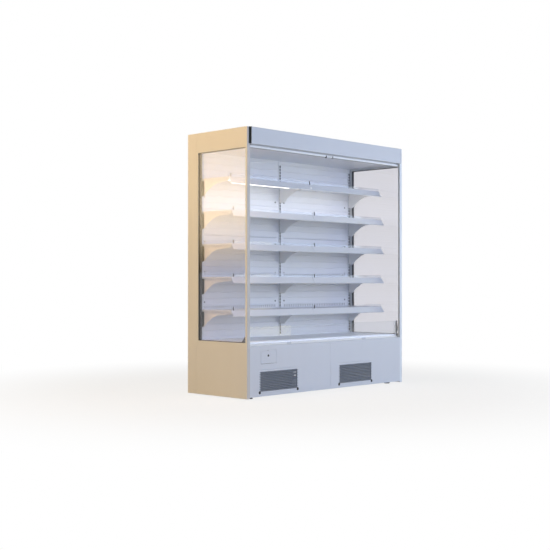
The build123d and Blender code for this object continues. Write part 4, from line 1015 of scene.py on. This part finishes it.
# -------- finishes of the CAD pieces
shelf_rows = range(1, shelf_levels + 1)
worn_by = {
    left_side_painted_warm_light: ["left_side_panel"],
    right_side_painted_cool_light: ["right_side_panel"],
    front_paint: ["fascia_panel", "left_front_panel", "right_front_panel", "controller_hatch"],
    inside_paint: ["ceiling_panel", "base_tub", "roof_panel"],
    rear_paint: ["rear_skirt"],
    shelf_paint: [f"{kind}_row_{row}" for kind in ("shelf_trays", "price_rails") for row in shelf_rows],
    deck_paint_painted_light: ["deck_trays", "air_return_grilles"],
    arm_paint_painted_light: ["shelf_arms"],
    channel_plastic: ["riser_channel"],
    window_glass: ["window_panes"],
    riser_clear: ["riser_glass"],
    stop_clear: ["product_stops"],
    black_rubber: ["hatch_lock"],
    dark_plastic: ["fascia_end_caps"],
    light_plastic: ["blind_grip"],
    key_plastic: ["controller", "light_switch"],
    grey_plastic: ["air_outlet"],
    black_steel: ["hook_plates"],
    zinc_sheet: ["blind_brackets", "base_frame", "condenser_fan_shroud", "evaporator_fan_plate"],
    bar_paint: ["blind_pull_bar"],
    lamp: ["shelf_lights"],
}
for material, nodes in worn_by.items():
    for node in nodes:
        slots = frame["nodes"][node].data.materials
        slots.clear()
        slots.append(material)


# -------- stage, lamps and camera
def scenery(name, corners, material):
    """Flat sheet that stands round the object."""
    mesh = bpy.data.meshes.new(name)
    mesh.from_pydata(corners, [], [(0, 1, 2, 3)])
    mesh.materials.append(material)
    made = bpy.data.objects.new(name, mesh)
    bpy.context.scene.collection.objects.link(made)
    return made


def stage():
    """Pale floor that runs out into white, with the object's shadow on it."""
    finish = Finish("floor")
    x = finish.axis("X")
    y = finish.axis("Y")
    reach, near_white = 40, 0.78
    far = (x * x + y * y).root().above(2.4, 1.1)
    cloud = finish.noise(1.5, 3)
    plain = finish.node("BsdfPrincipled", {}, {
        "Base Color": finish.mix(cloud, rgba(0.90, 0.90, 0.90), rgba(0.88, 0.88, 0.88)), "Roughness": 0.9})
    white = finish.node("Emission", {}, {0: rgba(1, 1, 1), 1: 1.0})
    share = finish.seen() * (near_white + (1 - near_white) * far)
    finish.end(finish.node("MixShader", {}, {0: share, 1: plain, 2: white}))
    floor = scenery("floor", [(-reach, -reach, 0), (reach, -reach, 0), (reach, reach, 0), (-reach, reach, 0)],
                    finish.material)


def world(strength, colour):
    """Even light from all round, and pure white behind the object."""
    sky = Finish("world", bpy.data.worlds.new("world"))
    seen = sky.seen()
    light = sky.node("Background", {}, {0: colour, 1: strength})
    white = sky.node("Background", {}, {0: rgba(1, 1, 1), 1: 1.0})
    sky.end(sky.node("MixShader", {}, {0: seen, 1: light, 2: white}), "World")
    bpy.context.scene.world = sky.material


def lamp_at(name, place, aim, size, power, colour):
    """Soft rectangular lamp that neither the camera nor a mirror sees."""
    data = bpy.data.lights.new(name, "AREA")
    data.shape = "RECTANGLE"
    data.size, data.size_y = size
    data.energy = power
    data.color = colour
    made = bpy.data.objects.new(name, data)
    made.location = place
    made.rotation_euler = (Vector(aim) - Vector(place)).to_track_quat("-Z", "Y").to_euler()
    made.visible_camera = False
    made.visible_glossy = False
    bpy.context.scene.collection.objects.link(made)


def warm_card():
    """Warm reflector high on the left, which fades towards its lower edge."""
    finish = Finish("warm_card")
    rise = finish.axis("Z").above(1.32, 0.55)
    finish.end(finish.node("Emission", {}, {0: rgba(1.0, 0.79, 0.50), 1: rise * 4.3}))
    card = scenery("warm_card", [(-7.6, 2.6, 1.0), (-4.4, 6.8, 1.0), (-4.2, 6.5, 3.2), (-7.4, 2.3, 3.2)],
                   finish.material)
    card.visible_camera = False


stage()
world(0.11, rgba(0.85, 0.92, 1.0))
warm_card()
lamp_at("warm_near", (-3.4, 0.0, 3.7), (-0.95, 0, 1.6), (1.2, 1.2), 70, (1.0, 0.63, 0.26))
lamp_at("left_front", (-3.0, -6.0, 2.2), (0, -0.3, 1.0), (3.0, 2.6), 15, (1.0, 1.0, 0.78))
lamp_at("left_low", (-2.6, -3.2, 1.1), (0.2, 0, 1.0), (1.6, 1.6), 14, (0.68, 0.89, 1.0))
lamp_at("cool_front", (1.6, -6.8, 2.2), (0, -0.3, 1.0), (3.4, 2.6), 142, (0.54, 0.60, 1.0))
lamp_at("right_front", (3.8, -4.4, 2.0), (0, -0.3, 1.0), (2.6, 2.6), 80, (0.70, 0.88, 1.0))
lamp_at("right_low", (2.4, -4.0, 1.0), (0.2, -0.1, 1.1), (1.6, 1.6), 22, (1.0, 0.82, 0.32))
for name, x in (("shelf_glow_left", -0.45), ("shelf_glow_right", 0.45)):
    lamp_at(name, (x, -0.072, 1.618), (x, 0.10, 1.2), (0.80, 0.02), 0.34, (1.0, 0.88, 0.70))

# camera at the photograph's place
camera_data = bpy.data.cameras.new("camera")
camera_data.sensor_width = 36
camera_data.lens = 67.34
camera = bpy.data.objects.new("camera", camera_data)
bpy.context.scene.collection.objects.link(camera)
yaw = math.radians(45.777)
pitch = math.radians(0.397)
camera.location = (-6.147, -5.686, 0.863)
heading = Vector((math.sin(yaw) * math.cos(pitch), math.cos(yaw) * math.cos(pitch), math.sin(pitch)))
camera.rotation_euler = heading.to_track_quat("-Z", "Y").to_euler()
bpy.context.scene.camera = camera
bpy.context.scene.view_settings.view_transform = "Standard"

bpy.context.view_layer.update()
